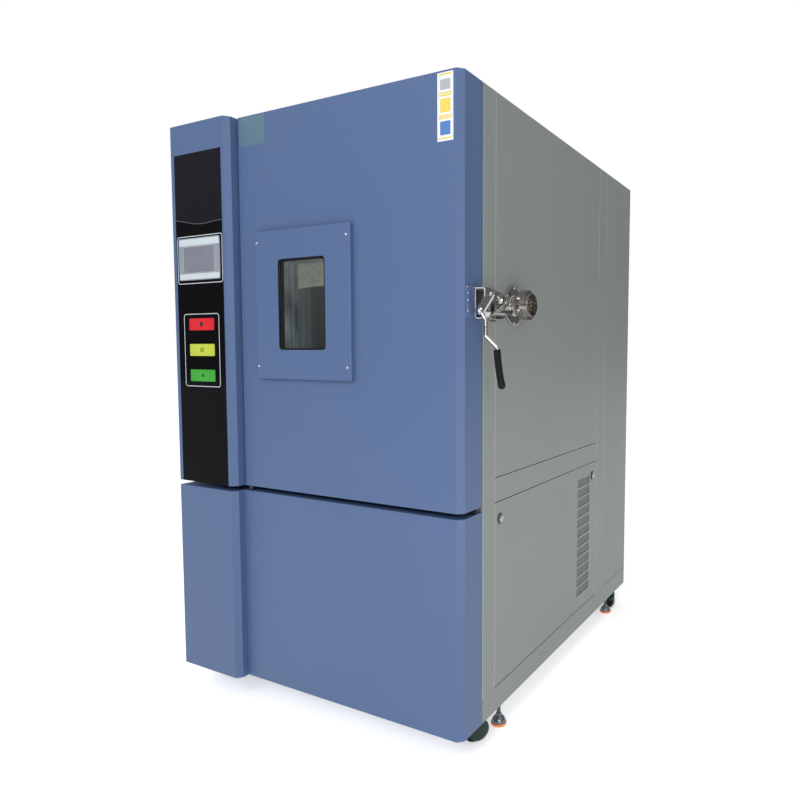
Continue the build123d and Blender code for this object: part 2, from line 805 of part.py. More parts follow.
plug_bowl = (30.0, 14.0)
plug_floor = 5.0
pin_circle = 20.0
pin_count = 10
pin_radius = 1.6
pin_length = 22.0
with BuildPart() as feedthrough:
    with BuildSketch(Plane(origin=(0, port_y, port_z), x_dir=(1, 0, 0), z_dir=(0, -1, 0))):
        with BuildLine():
            Polyline(
                (flange_x, 0),
                (flange_x, flange_radius),
                (flange_x + flange_rim, flange_radius),
                (flange_x + flange_rim + flange_taper, plug_bowl[0] + flange_rim),
                (flange_x + flange_rim + flange_taper + plug_bowl[1], plug_bowl[0] + flange_rim),
                (flange_x + flange_rim + flange_taper + plug_bowl[1], plug_bowl[0]),
                (flange_x + plug_floor, plug_bowl[0]),
                (flange_x + plug_floor, 0),
                close=True,
            )
        make_face()
    revolve(axis=Axis((0, port_y, port_z), (1, 0, 0)))
    for index in range(pin_count):
        angle = radians(360.0 * index / pin_count)
        pin_y = port_y + pin_circle * cos(angle)
        pin_z = port_z + pin_circle * sin(angle)
        rod((flange_x, pin_y, pin_z), (flange_x + plug_floor + pin_length, pin_y, pin_z), pin_radius)
save(feedthrough.part, "feedthrough")

clamp_wall = 6.0
clamp_side = 3.0
clamp_gap = 3.0
clamp_lug = (12.0, 16.0, 12.0)
clamp_lug_sink = 1.0
clamp_bolt_radius = 3.0
clamp_bolt_out = 3.2
clamp_bolt_ends = (24.0, 19.2)
clamp_x = (flange_x - flange_rim - flange_taper - clamp_side, flange_x + flange_rim + flange_taper + clamp_side)
with BuildPart() as port_clamp:
    with BuildSketch(Plane(origin=(0, port_y, port_z), x_dir=(1, 0, 0), z_dir=(0, -1, 0))):
        with BuildLine():
            Polyline(
                (clamp_x[0], flange_radius - flange_rim),
                (clamp_x[0], flange_radius + clamp_wall),
                (clamp_x[1], flange_radius + clamp_wall),
                (clamp_x[1], flange_radius - flange_rim),
                (flange_x + flange_rim + seat_gap, flange_radius + seat_gap),
                (flange_x - flange_rim - seat_gap, flange_radius + seat_gap),
                close=True,
            )
        make_face()
    revolve(axis=Axis((0, port_y, port_z), (1, 0, 0)))
    lug_y = port_y - flange_radius - clamp_wall - clamp_lug[1] / 2 + clamp_lug_sink
    with Locations((flange_x, lug_y, port_z)):
        Box(clamp_lug[0], clamp_lug[1], 2 * clamp_lug[2] + clamp_gap)
    block(
        (clamp_x[0] - clamp_side, clamp_x[1] + clamp_side),
        (lug_y - clamp_lug[1], port_y - flange_radius + 2 * flange_rim),
        (port_z - clamp_gap / 2, port_z + clamp_gap / 2),
        Mode.SUBTRACT,
    )
    rod(
        (flange_x, lug_y - clamp_bolt_out, port_z - clamp_bolt_ends[0]),
        (flange_x, lug_y - clamp_bolt_out, port_z + clamp_bolt_ends[1]),
        clamp_bolt_radius,
    )
save(port_clamp.part, "port_clamp")

# Right service panel with vent windows, its screens and two quarter turn locks
lock_height = 567.5
lock_setbacks = (214.7, 981.7)
lock_shank = 10.0
lock_head = (14.0, 4.0)
lock_slot = (16.0, 2.5, 1.5)
lock_cam = (66.0, 12.0, 3.0)
lock_reach = 5.0
vent_rows = 12
vent_size = (125.0, 30.0)
vent_pitch = 37.7
vent_first = 142.5
vent_middle = 890.0
screen_margin = 2.5
screen_thickness = 1.0
lock_z = base_z + lock_height
lock_clearance = 0.08

with BuildPart() as service_panel:
    block((right_x - sheet, right_x), panel_y_span, lower_panel_z)
    for row in range(vent_rows):
        vent_z = base_z + vent_first + row * vent_pitch
        block(
            (right_x - sheet, right_x),
            (door_y + vent_middle - vent_size[0] / 2, door_y + vent_middle + vent_size[0] / 2),
            (vent_z - vent_size[1] / 2, vent_z + vent_size[1] / 2),
            Mode.SUBTRACT,
        )
    for setback in lock_setbacks:
        rod(
            (right_x - sheet, door_y + setback, lock_z),
            (right_x, door_y + setback, lock_z),
            lock_shank + lock_clearance,
            Mode.SUBTRACT,
        )
save(service_panel.part, "service_panel")

with BuildPart() as vent_screens:
    for row in range(vent_rows):
        vent_z = base_z + vent_first + row * vent_pitch
        block(
            (right_x - sheet - screen_thickness, right_x - sheet),
            (
                door_y + vent_middle - vent_size[0] / 2 - screen_margin,
                door_y + vent_middle + vent_size[0] / 2 + screen_margin,
            ),
            (vent_z - vent_size[1] / 2 - screen_margin, vent_z + vent_size[1] / 2 + screen_margin),
        )
save(vent_screens.part, "vent_screens")

for lock_name, setback in zip(("front_lock", "rear_lock"), lock_setbacks):
    lock_y = door_y + setback
    with BuildPart() as lock:
        rod((right_x - lock_reach, lock_y, lock_z), (right_x, lock_y, lock_z), lock_shank)
        rod((right_x, lock_y, lock_z), (right_x + lock_head[1], lock_y, lock_z), lock_head[0])
        with Locations((right_x + lock_head[1], lock_y, lock_z)):
            Box(2 * lock_slot[2], lock_slot[1], lock_slot[0], mode=Mode.SUBTRACT)
        cam_start = (right_x - lock_reach, lock_y, lock_z)
        with BuildSketch(Plane(origin=cam_start, x_dir=(0, 0, 1), z_dir=(-1, 0, 0))):
            with Locations((lock_shank - lock_cam[0] / 2, 0)):
                SlotOverall(lock_cam[0], lock_cam[1])
            Circle(lock_shank)
        extrude(amount=lock_cam[2])
    save(lock.part, lock_name)

# Door: outer shell, insulation, inner panel with its plug, gasket, window and panes
window_x = (middle_x - 96.0, middle_x + 88.0)
window_z = (base_z + 1053.0, base_z + 1321.0)
window_radius = 12.0
frame_x = (middle_x - 188.0, middle_x + 181.0)
frame_z = (base_z + 966.0, base_z + 1407.0)
frame_radius = 5.0
frame_thickness = 15.0
frame_chamfer = 1.5
window_tube_wall = 2.0
plug_depth = 28.0
plug_gap = 8.0
inner_sheet = 1.5
plug_x = (cavity_left + plug_gap, cavity_right - plug_gap)
plug_z = (cavity_z + plug_gap, cavity_top - plug_gap)
plug_end = cabinet_y + plug_depth
inner_setback = 2.0
inner_y = door_back - inner_setback
pivot_inset = 12.0
hinge_pin_radius = 5.0
hinge_boss_radius = 8.0
hinge_plate = 5.0
hinge_clear = 2.0
hinge_pin_depth = 30.0
pivot_x = door_left + pivot_inset
pivot_y = door_y + pivot_inset
notch_x = (door_left, pivot_x + hinge_boss_radius + 2 * hinge_clear)
notch_z = top_z - sheet - hinge_plate - hinge_clear - seat_gap


def through_window(front, back, grow, mode=Mode.SUBTRACT):
    """Cut or add the window's passage between two planes, larger than the glass by grow."""
    front_plate(
        (window_x[0] - grow, window_x[1] + grow),
        (window_z[0] - grow, window_z[1] + grow),
        back,
        back - front,
        window_radius + grow,
        mode,
    )


def door_outline():
    """Points round the door's plan, with the chamfer at its front right edge."""
    return [
        (door_left, door_back),
        (door_left, door_y),
        (right_x - front_right_chamfer, door_y),
        (right_x, door_y + front_right_chamfer),
        (right_x, door_back),
    ]


tube_clear = window_tube_wall + seat_gap
with BuildPart() as door_hollow:
    with BuildSketch(Plane.XY.offset(door_z + sheet)):
        with BuildLine():
            Polyline(*door_outline(), close=True)
        make_face()
        offset(amount=-sheet)
    extrude(amount=top_z - door_z - 2 * sheet)
    block(
        (door_left, notch_x[1] + sheet),
        (door_y, door_back),
        (notch_z - sheet, top_z),
        Mode.SUBTRACT,
    )

with BuildPart() as door_shell:
    with BuildSketch(Plane.XY.offset(door_z)):
        with BuildLine():
            Polyline(*door_outline(), close=True)
        make_face()
    extrude(amount=top_z - door_z)
    add(door_hollow.part, mode=Mode.SUBTRACT)
    block(
        (door_left + sheet, right_x - sheet),
        (inner_y, door_back),
        (door_z + sheet, notch_z - sheet),
        Mode.SUBTRACT,
    )
    block(notch_x, (door_y + sheet, door_back), (notch_z, top_z), Mode.SUBTRACT)
    for low in (door_z, notch_z - sheet):
        rod(
            (pivot_x, pivot_y, low),
            (pivot_x, pivot_y, low + sheet),
            hinge_pin_radius + running_gap,
            Mode.SUBTRACT,
        )
    through_window(door_y, door_y + sheet, tube_clear)
save(door_shell.part, "door_shell")

with BuildPart() as door_insulation:
    with BuildSketch(Plane.XY.offset(door_z + sheet + seat_gap)):
        with BuildLine():
            Polyline(*door_outline(), close=True)
        make_face()
        offset(amount=-sheet - seat_gap)
    extrude(amount=top_z - door_z - 2 * (sheet + seat_gap))
    block((door_left, right_x), (inner_y - seat_gap, door_back), (door_z, top_z), Mode.SUBTRACT)
    block(
        (door_left, notch_x[1] + sheet + seat_gap),
        (door_y, door_back),
        (notch_z - sheet - seat_gap, top_z),
        Mode.SUBTRACT,
    )
    pin_pocket = hinge_pin_depth + 2 * hinge_clear
    for low, high in ((door_z, door_z + pin_pocket), (notch_z - pin_pocket, top_z)):
        rod((pivot_x, pivot_y, low), (pivot_x, pivot_y, high), hinge_boss_radius, Mode.SUBTRACT)
    through_window(door_y, inner_y, tube_clear)
save(door_insulation.part, "door_insulation")

with BuildPart() as door_inner_panel:
    block(
        (door_left + sheet + seat_gap, right_x - sheet - seat_gap),
        (inner_y, inner_y + inner_sheet),
        (door_z + sheet + seat_gap, notch_z - sheet - seat_gap),
    )
    block(plug_x, (inner_y, plug_end), plug_z)
    block(
        (plug_x[0] + inner_sheet, plug_x[1] - inner_sheet),
        (inner_y + inner_sheet, plug_end - inner_sheet),
        (plug_z[0] + inner_sheet, plug_z[1] - inner_sheet),
        Mode.SUBTRACT,
    )
    through_window(inner_y, plug_end, tube_clear)
save(door_inner_panel.part, "door_inner_panel")

gasket_inner = 6.0
gasket_outer = 30.0
gasket_compression_gap = 0.3
with BuildPart() as door_gasket:
    gasket_back = inner_y + inner_sheet
    for grow, mode in ((gasket_outer, Mode.ADD), (gasket_inner, Mode.SUBTRACT)):
        block(
            (plug_x[0] - grow, plug_x[1] + grow),
            (gasket_back, cabinet_y - gasket_compression_gap),
            (plug_z[0] - grow, plug_z[1] + grow),
            mode,
        )
save(door_gasket.part, "door_gasket")

screw_radius = 3.0
screw_head = (6.5, 2.5)
screw_length = 12.0
screw_crown = 1.0
screw_inset = (7.5, 13.0)
screw_rise = 37.7
screw_drop = 33.5
screw_places = (
    (frame_x[0] + screw_inset[0], frame_z[0] + screw_rise),
    (frame_x[1] - screw_inset[1], frame_z[0] + screw_rise),
    (frame_x[0] + screw_inset[0], frame_z[1] - screw_drop),
    (frame_x[1] - screw_inset[1], frame_z[1] - screw_drop),
)
with BuildPart() as window_frame:
    front_plate(frame_x, frame_z, door_y, frame_thickness, frame_radius)
    chamfer(window_frame.faces().sort_by(Axis.Y)[0].edges(), length=frame_chamfer)
    through_window(door_y - frame_thickness, plug_end - inner_sheet, window_tube_wall, Mode.ADD)
    through_window(door_y - frame_thickness, plug_end, 0)
    for x, z in screw_places:
        rod((x, door_y - frame_thickness, z), (x, door_y, z), screw_radius + running_gap, Mode.SUBTRACT)
save(window_frame.part, "window_frame")

with BuildPart() as window_screws:
    for x, z in screw_places:
        front = door_y - frame_thickness
        rod((x, front, z), (x, front + screw_length, z), screw_radius)
        with BuildSketch(Plane(origin=(x, front, z), x_dir=(1, 0, 0), z_dir=(0, 0, -1))):
            with BuildLine():
                ThreePointArc(
                    (screw_head[0], 0),
                    (screw_head[0] * cos(radians(45)), screw_head[1] * sin(radians(50))),
                    (screw_crown, screw_head[1]),
                )
                Polyline((screw_crown, screw_head[1]), (0, screw_head[1]), (0, 0), (screw_head[0], 0))
            make_face()
        revolve(axis=Axis((x, front, z), (0, 1, 0)))
save(window_screws.part, "window_screws")

pane_thickness = 6.0
pane_places = (-7.0, 28.0, 68.0, 126.0)
with BuildPart() as window_panes:
    for place in pane_places:
        pane_y = door_y + place
        through_window(pane_y - pane_thickness / 2, pane_y + pane_thickness / 2, -seat_gap, Mode.ADD)
save(window_panes.part, "window_panes")

# Hinge plates on the chamber's front, one under the door and one in the notch at its top
hinge_gap = 4.0
hinge_low_z = (fascia_z + hinge_gap, door_z - hinge_gap)
hinge_high_z = (top_z - sheet - seat_gap - hinge_plate, top_z - sheet - seat_gap)
with BuildPart() as hinge_plates:
    for low, high in (hinge_low_z, hinge_high_z):
        block((pivot_x - hinge_clear, pivot_x + hinge_boss_radius), (pivot_y, cabinet_y), (low, high))
        rod((pivot_x, pivot_y, low), (pivot_x, pivot_y, high), hinge_boss_radius)
    rod((pivot_x, pivot_y, hinge_low_z[1]), (pivot_x, pivot_y, door_z + hinge_pin_depth), hinge_pin_radius)
    rod((pivot_x, pivot_y, notch_z - hinge_pin_depth), (pivot_x, pivot_y, hinge_high_z[0]), hinge_pin_radius)
save(hinge_plates.part, "hinge_plates")

# Latch: housing on the door's side, lever with shaft and tongue, grip, and the keeper on the cabinet
housing_plate = 4.0
housing_plate_y = (-55.0, 22.0)
housing_top = 62.0
housing_drop = 20.0
housing_out = 36.0
housing_depth = 30.0
housing_wall = 4.0
cheek = 4.0
latch_y = door_y + latch_setback
latch_z = base_z + latch_height
pivot_out = right_x + pivot_offset

with BuildPart() as latch_housing:
    block(
        (right_x, right_x + housing_plate),
        (latch_y + housing_plate_y[0], latch_y + housing_plate_y[1]),
        (latch_z - housing_drop + housing_wall, latch_z + housing_top),
    )
    for inset, front, mode in (
        (0.0, -housing_depth / 2, Mode.ADD),
        (housing_wall, -housing_depth, Mode.SUBTRACT),
    ):
        plane = Plane(origin=(right_x, latch_y + front, latch_z), x_dir=(1, 0, 0), z_dir=(0, -1, 0))
        low_x = housing_plate + inset
        high_x = housing_out - inset
        low_z = -housing_drop + inset
        high_z = housing_top - inset
        bend = housing_drop - inset
        with BuildSketch(plane):
            with BuildLine():
                Polyline((low_x, low_z), (low_x, high_z), (high_x, high_z), (high_x, low_z + bend))
                RadiusArc((high_x, low_z + bend), (high_x - bend, low_z), bend)
                Line((high_x - bend, low_z), (low_x, low_z))
            make_face()
        depth = housing_depth if mode == Mode.ADD else 1.5 * housing_depth - cheek
        extrude(amount=-depth, mode=mode)
    rod(
        (pivot_out, latch_y, latch_z),
        (pivot_out, latch_y + housing_depth, latch_z),
        shaft_radius + running_gap,
        Mode.SUBTRACT,
    )
save(latch_housing.part, "latch_housing")

tongue_place = (154.0, 160.0)
tongue_length = 40.0
tongue_half = 6.0
lever_front = 26.0
lever_thickness = 9.0
lever_hub = 12.0
arm_end = (33.0, 42.0)
arm_tip_radius = 8.4
cam_place = (24.0, 30.0)
cam_corners = ((40.0, 40.0), (44.0, 27.0), (24.0, 13.0))
cam_corner_radius = 8.0
shaft_end = door_y + tongue_place[1] - latch_y
rod_points = ((6.0, -8.0), (16.0, -24.0), (16.6, -66.0), (50.6, -95.3))
grip_from = 0.06
rod_insert = 0.88
rod_bend = 9.0
rod_y = latch_y - lever_front + lever_thickness / 2


def on_grip(share):
    """A point on the grip's axis, at a share of the way from the rod's last bend to the grip's end."""
    bend = Vector(*rod_points[-1])
    at = bend + (Vector(grip_end_out, -grip_end_drop) - bend) * share
    return (pivot_out + at.X, rod_y, latch_z + at.Y)


def latch_plane(setback):
    """The vertical plane in front of the latch pivot by a given distance, seen from the front."""
    return Plane(origin=(pivot_out, latch_y + setback, latch_z), x_dir=(1, 0, 0), z_dir=(0, -1, 0))


with BuildPart() as latch_lever:
    rod((pivot_out, latch_y - lever_front, latch_z), (pivot_out, latch_y + shaft_end, latch_z), shaft_radius)
    with BuildSketch(latch_plane(-lever_front + lever_thickness)):
        Circle(lever_hub)
        with Locations(arm_end):
            Circle(arm_tip_radius)
        make_hull()
    extrude(amount=lever_thickness)
    with BuildSketch(latch_plane(cam_place[1])):
        Circle(lever_hub)
        with Locations(*cam_corners):
            Circle(cam_corner_radius)
        make_hull()
    extrude(amount=cam_place[1] - cam_place[0])
    with BuildSketch(latch_plane(shaft_end)):
        with Locations((tongue_length / 2, 0)):
            SlotOverall(tongue_length + 2 * tongue_half, 2 * tongue_half)
    extrude(amount=tongue_place[1] - tongue_place[0])
    with BuildLine() as rod_path:
        FilletPolyline(
            *[(pivot_out + x, rod_y, latch_z + z) for x, z in rod_points],
            on_grip(rod_insert),
            radius=rod_bend,
        )
    with BuildSketch(Plane(origin=rod_path.line @ 0, z_dir=rod_path.line % 0)):
        Circle(rod_radius)
    sweep(path=rod_path.line)
save(latch_lever.part, "latch_lever")

with BuildPart() as latch_grip:
    rod(on_grip(grip_from), on_grip(1), grip_radius)
    with Locations(on_grip(1)):
        Sphere(grip_radius)
    rod(on_grip(0), on_grip(rod_insert), rod_radius + running_gap, Mode.SUBTRACT)
save(latch_grip.part, "latch_grip")

keeper_y = (138.0, 179.0)
keeper_z = (-23.0, 64.0)
keeper_plate = 4.0
keeper_lug_y = (146.0, 152.0)
keeper_lug = (46.0, 8.0)
keeper_top = (20.0, 40.0)
keeper_radius = 6.0
with BuildPart() as latch_keeper:
    keeper_middle = (right_x, door_y + sum(keeper_y) / 2, latch_z + sum(keeper_z) / 2)
    with BuildSketch(Plane(origin=keeper_middle, x_dir=(0, 1, 0), z_dir=(1, 0, 0))):
        RectangleRounded(keeper_y[1] - keeper_y[0], keeper_z[1] - keeper_z[0], keeper_radius)
    extrude(amount=keeper_plate)
    lug_low = latch_z + keeper_z[0] + keeper_radius
    lug_high = latch_z - keeper_lug[1]
    lug_back = (right_x, door_y + keeper_lug_y[1], 0)
    with BuildSketch(Plane(origin=lug_back, x_dir=(1, 0, 0), z_dir=(0, -1, 0))):
        with BuildLine():
            Polyline(
                (keeper_plate, lug_low),
                (keeper_lug[0] - keeper_radius, lug_low),
                (keeper_lug[0], lug_high - keeper_radius),
                (keeper_lug[0], lug_high),
                (keeper_plate, lug_high),
                close=True,
            )
        make_face()
    extrude(amount=keeper_lug_y[1] - keeper_lug_y[0])
    block(
        (right_x + keeper_plate, right_x + keeper_top[0]),
        (door_y + keeper_lug_y[0], door_y + keeper_y[1] - keeper_radius),
        (latch_z + keeper_top[1], latch_z + keeper_z[1] - keeper_radius),
    )
save(latch_keeper.part, "latch_keeper")

# Castors: each fork swivels on its kingpin under the base, and its wheel turns on the fork's axle
wheel_radius = 32.0
wheel_width = 23.0
wheel_lift = 1.0
wheel_trail = 26.0
axle_radius = 4.0
axle_cap = (7.0, 2.5)
crown = (24.0, 7.0)
cheek_gap = 2.0
cheek_thickness = 3.0
cheek_top = (30.0, 2.0)
hood = (35.0, 3.0)
hood_angles = (10.0, 150.0)
tread_round = 3.0
hub_boss = (11.0, 1.7)
wheel_recess = (24.0, 13.0, 4.0)
fork_top = tray_z - castor_plate[2] - seat_gap
axle_z = wheel_lift + wheel_radius
cheek_y = wheel_width / 2 + cheek_gap

with BuildPart() as fork:
    rod((0, 0, fork_top - crown[1]), (0, 0, fork_top), crown[0])
    rod((0, 0, fork_top), (0, 0, tray_z + tray_wall), kingpin_radius)
    for side in (-1, 1):
        face = Plane(origin=(0, side * cheek_y, 0), x_dir=(1, 0, 0), z_dir=(0, -1, 0))
        with BuildSketch(face):
            with Locations((wheel_trail, axle_z)):
                Circle(hub_boss[0])
            with Locations((0, fork_top - crown[1] - cheek_top[1] / 2)):
                Rectangle(*cheek_top)
            make_hull()
        extrude(amount=-side * cheek_thickness)
    with BuildSketch(Plane(origin=(0, -cheek_y - cheek_thickness, 0), x_dir=(1, 0, 0), z_dir=(0, -1, 0))):
        with BuildLine():
            CenterArc((wheel_trail, axle_z), hood[0] + hood[1], hood_angles[0], hood_angles[1])
            CenterArc((wheel_trail, axle_z), hood[0], hood_angles[0], hood_angles[1])
            for angle in (hood_angles[0], hood_angles[0] + hood_angles[1]):
                PolarLine(
                    (
                        wheel_trail + hood[0] * cos(radians(angle)),
                        axle_z + hood[0] * sin(radians(angle)),
                    ),
                    hood[1],
                    angle,
                )
        make_face()
    extrude(amount=-2 * (cheek_y + cheek_thickness))
    axle_end = cheek_y + cheek_thickness + axle_cap[1]
    rod((wheel_trail, -axle_end, axle_z), (wheel_trail, axle_end, axle_z), axle_radius)
    for side in (-1, 1):
        cap_start = side * (cheek_y + cheek_thickness)
        rod((wheel_trail, cap_start, axle_z), (wheel_trail, side * axle_end, axle_z), axle_cap[0])

with BuildPart() as wheel:
    rod(
        (wheel_trail, -wheel_width / 2, axle_z),
        (wheel_trail, wheel_width / 2, axle_z),
        wheel_radius,
    )
    fillet(wheel.edges().filter_by(GeomType.CIRCLE), radius=tread_round)
    for side in (-1, 1):
        face = side * wheel_width / 2
        with BuildSketch(Plane(origin=(wheel_trail, face, axle_z), z_dir=(0, side, 0))):
            Circle(wheel_recess[0])
            Circle(wheel_recess[1], mode=Mode.SUBTRACT)
        extrude(amount=-wheel_recess[2], mode=Mode.SUBTRACT)
        rod((wheel_trail, face, axle_z), (wheel_trail, face + side * hub_boss[1], axle_z), hub_boss[0])
    rod(
        (wheel_trail, -wheel_width, axle_z),
        (wheel_trail, wheel_width, axle_z),
        axle_radius + running_gap,
        Mode.SUBTRACT,
    )

for castor_name, x, y, turn in castor_places:
    with BuildPart() as placed_fork:
        with Locations(Location((x, y, 0), (0, 0, turn))):
            add(fork.part)
    save(placed_fork.part, f"{castor_name}_fork")
    with BuildPart() as placed_wheel:
        with Locations(Location((x, y, 0), (0, 0, turn))):
            add(wheel.part)
    save(placed_wheel.part, f"{castor_name}_wheel")

# Levelling feet: stem, steel dome and the elastic pad under it
foot_pad = (23.5, 8.0)
foot_dome = (23.0, 18.0)
foot_neck = 9.0
foot_stem_inset = 6.0
foot_top = tray_z + tray_height - foot_stem_inset
for foot_name, x, y in foot_places:
    with BuildPart() as foot:
        with BuildSketch(Plane(origin=(x, y, 0), x_dir=(1, 0, 0), z_dir=(0, -1, 0))):
            with BuildLine():
                Polyline((0, 0), (foot_pad[0], 0), (foot_pad[0], foot_pad[1]), (foot_dome[0], foot_pad[1]))
                RadiusArc((foot_dome[0], foot_pad[1]), (foot_neck, foot_pad[1] + foot_dome[1]), -foot_dome[0])
                Polyline(
                    (foot_neck, foot_pad[1] + foot_dome[1]),
                    (foot_stem_radius, foot_pad[1] + foot_dome[1]),
                    (foot_stem_radius, foot_top),
                    (0, foot_top),
                    (0, 0),
                )
            make_face()
        revolve(axis=Axis((x, y, 0), (0, 0, 1)))
    save(foot.part, f"{foot_name}_foot")
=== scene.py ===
"""Looks of a floor-standing environmental test chamber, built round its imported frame."""

import json
import logging
import math
from dataclasses import dataclass
from enum import Enum

import bpy
from mathutils import Matrix, Vector


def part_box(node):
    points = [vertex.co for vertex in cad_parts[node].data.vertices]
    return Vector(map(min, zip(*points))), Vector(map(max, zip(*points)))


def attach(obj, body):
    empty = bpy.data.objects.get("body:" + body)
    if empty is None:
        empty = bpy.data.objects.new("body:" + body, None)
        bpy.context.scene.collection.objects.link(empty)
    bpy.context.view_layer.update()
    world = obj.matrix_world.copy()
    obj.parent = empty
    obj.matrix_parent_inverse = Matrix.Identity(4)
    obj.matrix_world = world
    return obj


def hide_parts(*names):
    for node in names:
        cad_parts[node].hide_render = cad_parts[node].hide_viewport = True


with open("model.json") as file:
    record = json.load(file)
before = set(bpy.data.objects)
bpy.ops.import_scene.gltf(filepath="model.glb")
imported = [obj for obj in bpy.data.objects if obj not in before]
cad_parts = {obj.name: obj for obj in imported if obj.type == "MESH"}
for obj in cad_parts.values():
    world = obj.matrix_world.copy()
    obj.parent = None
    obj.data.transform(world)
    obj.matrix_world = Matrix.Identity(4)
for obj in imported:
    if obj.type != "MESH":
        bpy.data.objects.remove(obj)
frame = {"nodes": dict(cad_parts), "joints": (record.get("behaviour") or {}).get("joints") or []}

LOG = logging.getLogger("test_chamber")
MM = 0.001
Point = tuple[float, float, float]
Colour = tuple[float, float, float]
Profile = list[tuple[float, float]]
Span = tuple[float, float]
ORIGIN = Vector((0, 0, 0))
TO_FRONT = Vector((0, -1, 0))
TO_REAR = Vector((0, 1, 0))
TO_SIDE = Vector((1, 0, 0))
UPWARD = Vector((0, 0, 1))

WAVE_RISE = 6 * MM
WAVE_FALL = 14 * MM
WAVE_TURN = 5.65
WAVE_START = 0.35
ROW_SHARE = 0.866


def mm(*values: float) -> Vector:
    """Turn millimetres into a vector in metres.

    Args:
        *values: Three lengths in millimetres.

    Returns:
        The vector in metres.
    """
    return Vector([value * MM for value in values])


class Axis(Enum):
    """Direction that a brushed grain or a round piece runs along."""

    X = 0
    Y = 1
    Z = 2


class Workshop:
    """Mesh tools shared by the sub-assemblies, all on Blender's own operators."""

    @staticmethod
    def clear() -> None:
        """Leave edit mode and deselect everything."""
        if bpy.context.mode != "OBJECT":
            bpy.ops.object.mode_set(mode="OBJECT")
        bpy.ops.object.select_all(action="DESELECT")

    @staticmethod
    def settle(name: str) -> bpy.types.Object:
        """Name the active object and move its place into its mesh.

        Args:
            name: Name of the piece.

        Returns:
            The object, at the origin, unturned and unscaled.
        """
        piece = bpy.context.object
        piece.name = name
        piece.data.name = name
        bpy.ops.object.transform_apply(location=True, rotation=True, scale=True)
        return piece

    @classmethod
    def edit(cls, piece: bpy.types.Object, action: str = "DESELECT") -> None:
        """Open a piece in edit mode.

        Args:
            piece: The piece to edit.
            action: What happens to its selection first.
        """
        cls.clear()
        piece.select_set(True)
        bpy.context.view_layer.objects.active = piece
        bpy.ops.object.mode_set(mode="EDIT")
        bpy.ops.mesh.select_mode(type="FACE")
        bpy.ops.mesh.select_all(action=action)

    @classmethod
    def pick_edges(cls, piece: bpy.types.Object, axis: Axis) -> None:
        """Select the edges that run along an axis and stay in edit mode.

        Args:
            piece: The piece to edit.
            axis: Direction of the wanted edges.
        """
        cls.edit(piece)
        bpy.ops.mesh.select_mode(type="EDGE")
        bpy.ops.mesh.select_all(action="DESELECT")
        bpy.ops.object.mode_set(mode="OBJECT")
        points = piece.data.vertices
        for edge in piece.data.edges:
            run = points[edge.vertices[1]].co - points[edge.vertices[0]].co
            edge.select = abs(run.normalized()[axis.value]) > 0.999
        bpy.ops.object.mode_set(mode="EDIT")

    @classmethod
    def pick_faces(cls, piece: bpy.types.Object, normal: Point) -> None:
        """Select the faces that look one way and stay in edit mode.

        Args:
            piece: The piece to edit.
            normal: Direction that the wanted faces look.
        """
        cls.edit(piece)
        bpy.ops.object.mode_set(mode="OBJECT")
        wanted = Vector(normal)
        for polygon in piece.data.polygons:
            polygon.select = polygon.normal.dot(wanted) > 0.999
        bpy.ops.object.mode_set(mode="EDIT")

    @classmethod
    def block(cls, name: str, low: Vector, high: Vector, edge: float = 0.0) -> bpy.types.Object:
        """Make a block between two corners, with its edges bevelled.

        Args:
            name: Name of the piece.
            low: Lowest corner, in metres.
            high: Highest corner, in metres.
            edge: Width of the bevel, in metres.

        Returns:
            The finished block.
        """
        cls.clear()
        bpy.ops.mesh.primitive_cube_add(size=1, location=(low + high) / 2)
        bpy.context.object.scale = high - low
        piece = cls.settle(name)
        if edge:
            cls.edit(piece, "SELECT")
            bpy.ops.mesh.bevel(offset=edge, segments=2, affect="EDGES")
            cls.clear()
        return piece

    @classmethod
    def plate(
        cls, name: str, low: Vector, high: Vector, corner: float, across: Axis, edge: float = 0.0
    ) -> bpy.types.Object:
        """Make a flat plate with round corners.

        Args:
            name: Name of the piece.
            low: Lowest corner, in metres.
            high: Highest corner, in metres.
            corner: Radius of the corners, in metres.
            across: Axis along the plate's thickness.
            edge: Width of the bevel round its faces, in metres.

        Returns:
            The finished plate.
        """
        piece = cls.block(name, low, high)
        cls.pick_edges(piece, across)
        bpy.ops.mesh.bevel(offset=corner, segments=6, affect="EDGES")
        cls.clear()
        if edge:
            normal = [0.0, 0.0, 0.0]
            for sign in (-1.0, 1.0):
                normal[across.value] = sign
                cls.pick_faces(piece, tuple(normal))
                bpy.ops.mesh.region_to_loop()
                bpy.ops.mesh.bevel(offset=edge, segments=2, affect="EDGES")
                cls.clear()
        return piece

    @classmethod
    def hoop(
        cls, name: str, low: Vector, high: Vector, corner: float, band: float, across: Axis
    ) -> bpy.types.Object:
        """Make a thin frame with round corners, as a printed or moulded outline.

        Args:
            name: Name of the piece.
            low: Lowest corner, in metres.
            high: Highest corner, in metres.
            corner: Radius of the outer corners, in metres.
            band: Width of the frame's band, in metres.
            across: Axis along the frame's thickness.

        Returns:
            The finished frame.
        """
        piece = cls.plate(name, low, high, corner, across)
        normal = [0.0, 0.0, 0.0]
        for sign in (-1.0, 1.0):
            normal[across.value] = sign
            cls.pick_faces(piece, tuple(normal))
            bpy.ops.mesh.inset(thickness=band, use_even_offset=True)
            cls.clear()
        cls.edit(piece)
        bpy.ops.object.mode_set(mode="OBJECT")
        middle = (low + high) / 2
        largest = sorted(piece.data.polygons, key=lambda polygon: -len(polygon.vertices))[:2]
        for polygon in largest:
            polygon.select = abs((polygon.center - middle)[across.value]) > 0
        bpy.ops.object.mode_set(mode="EDIT")
        bpy.ops.mesh.bridge_edge_loops()
        cls.clear()
        return piece

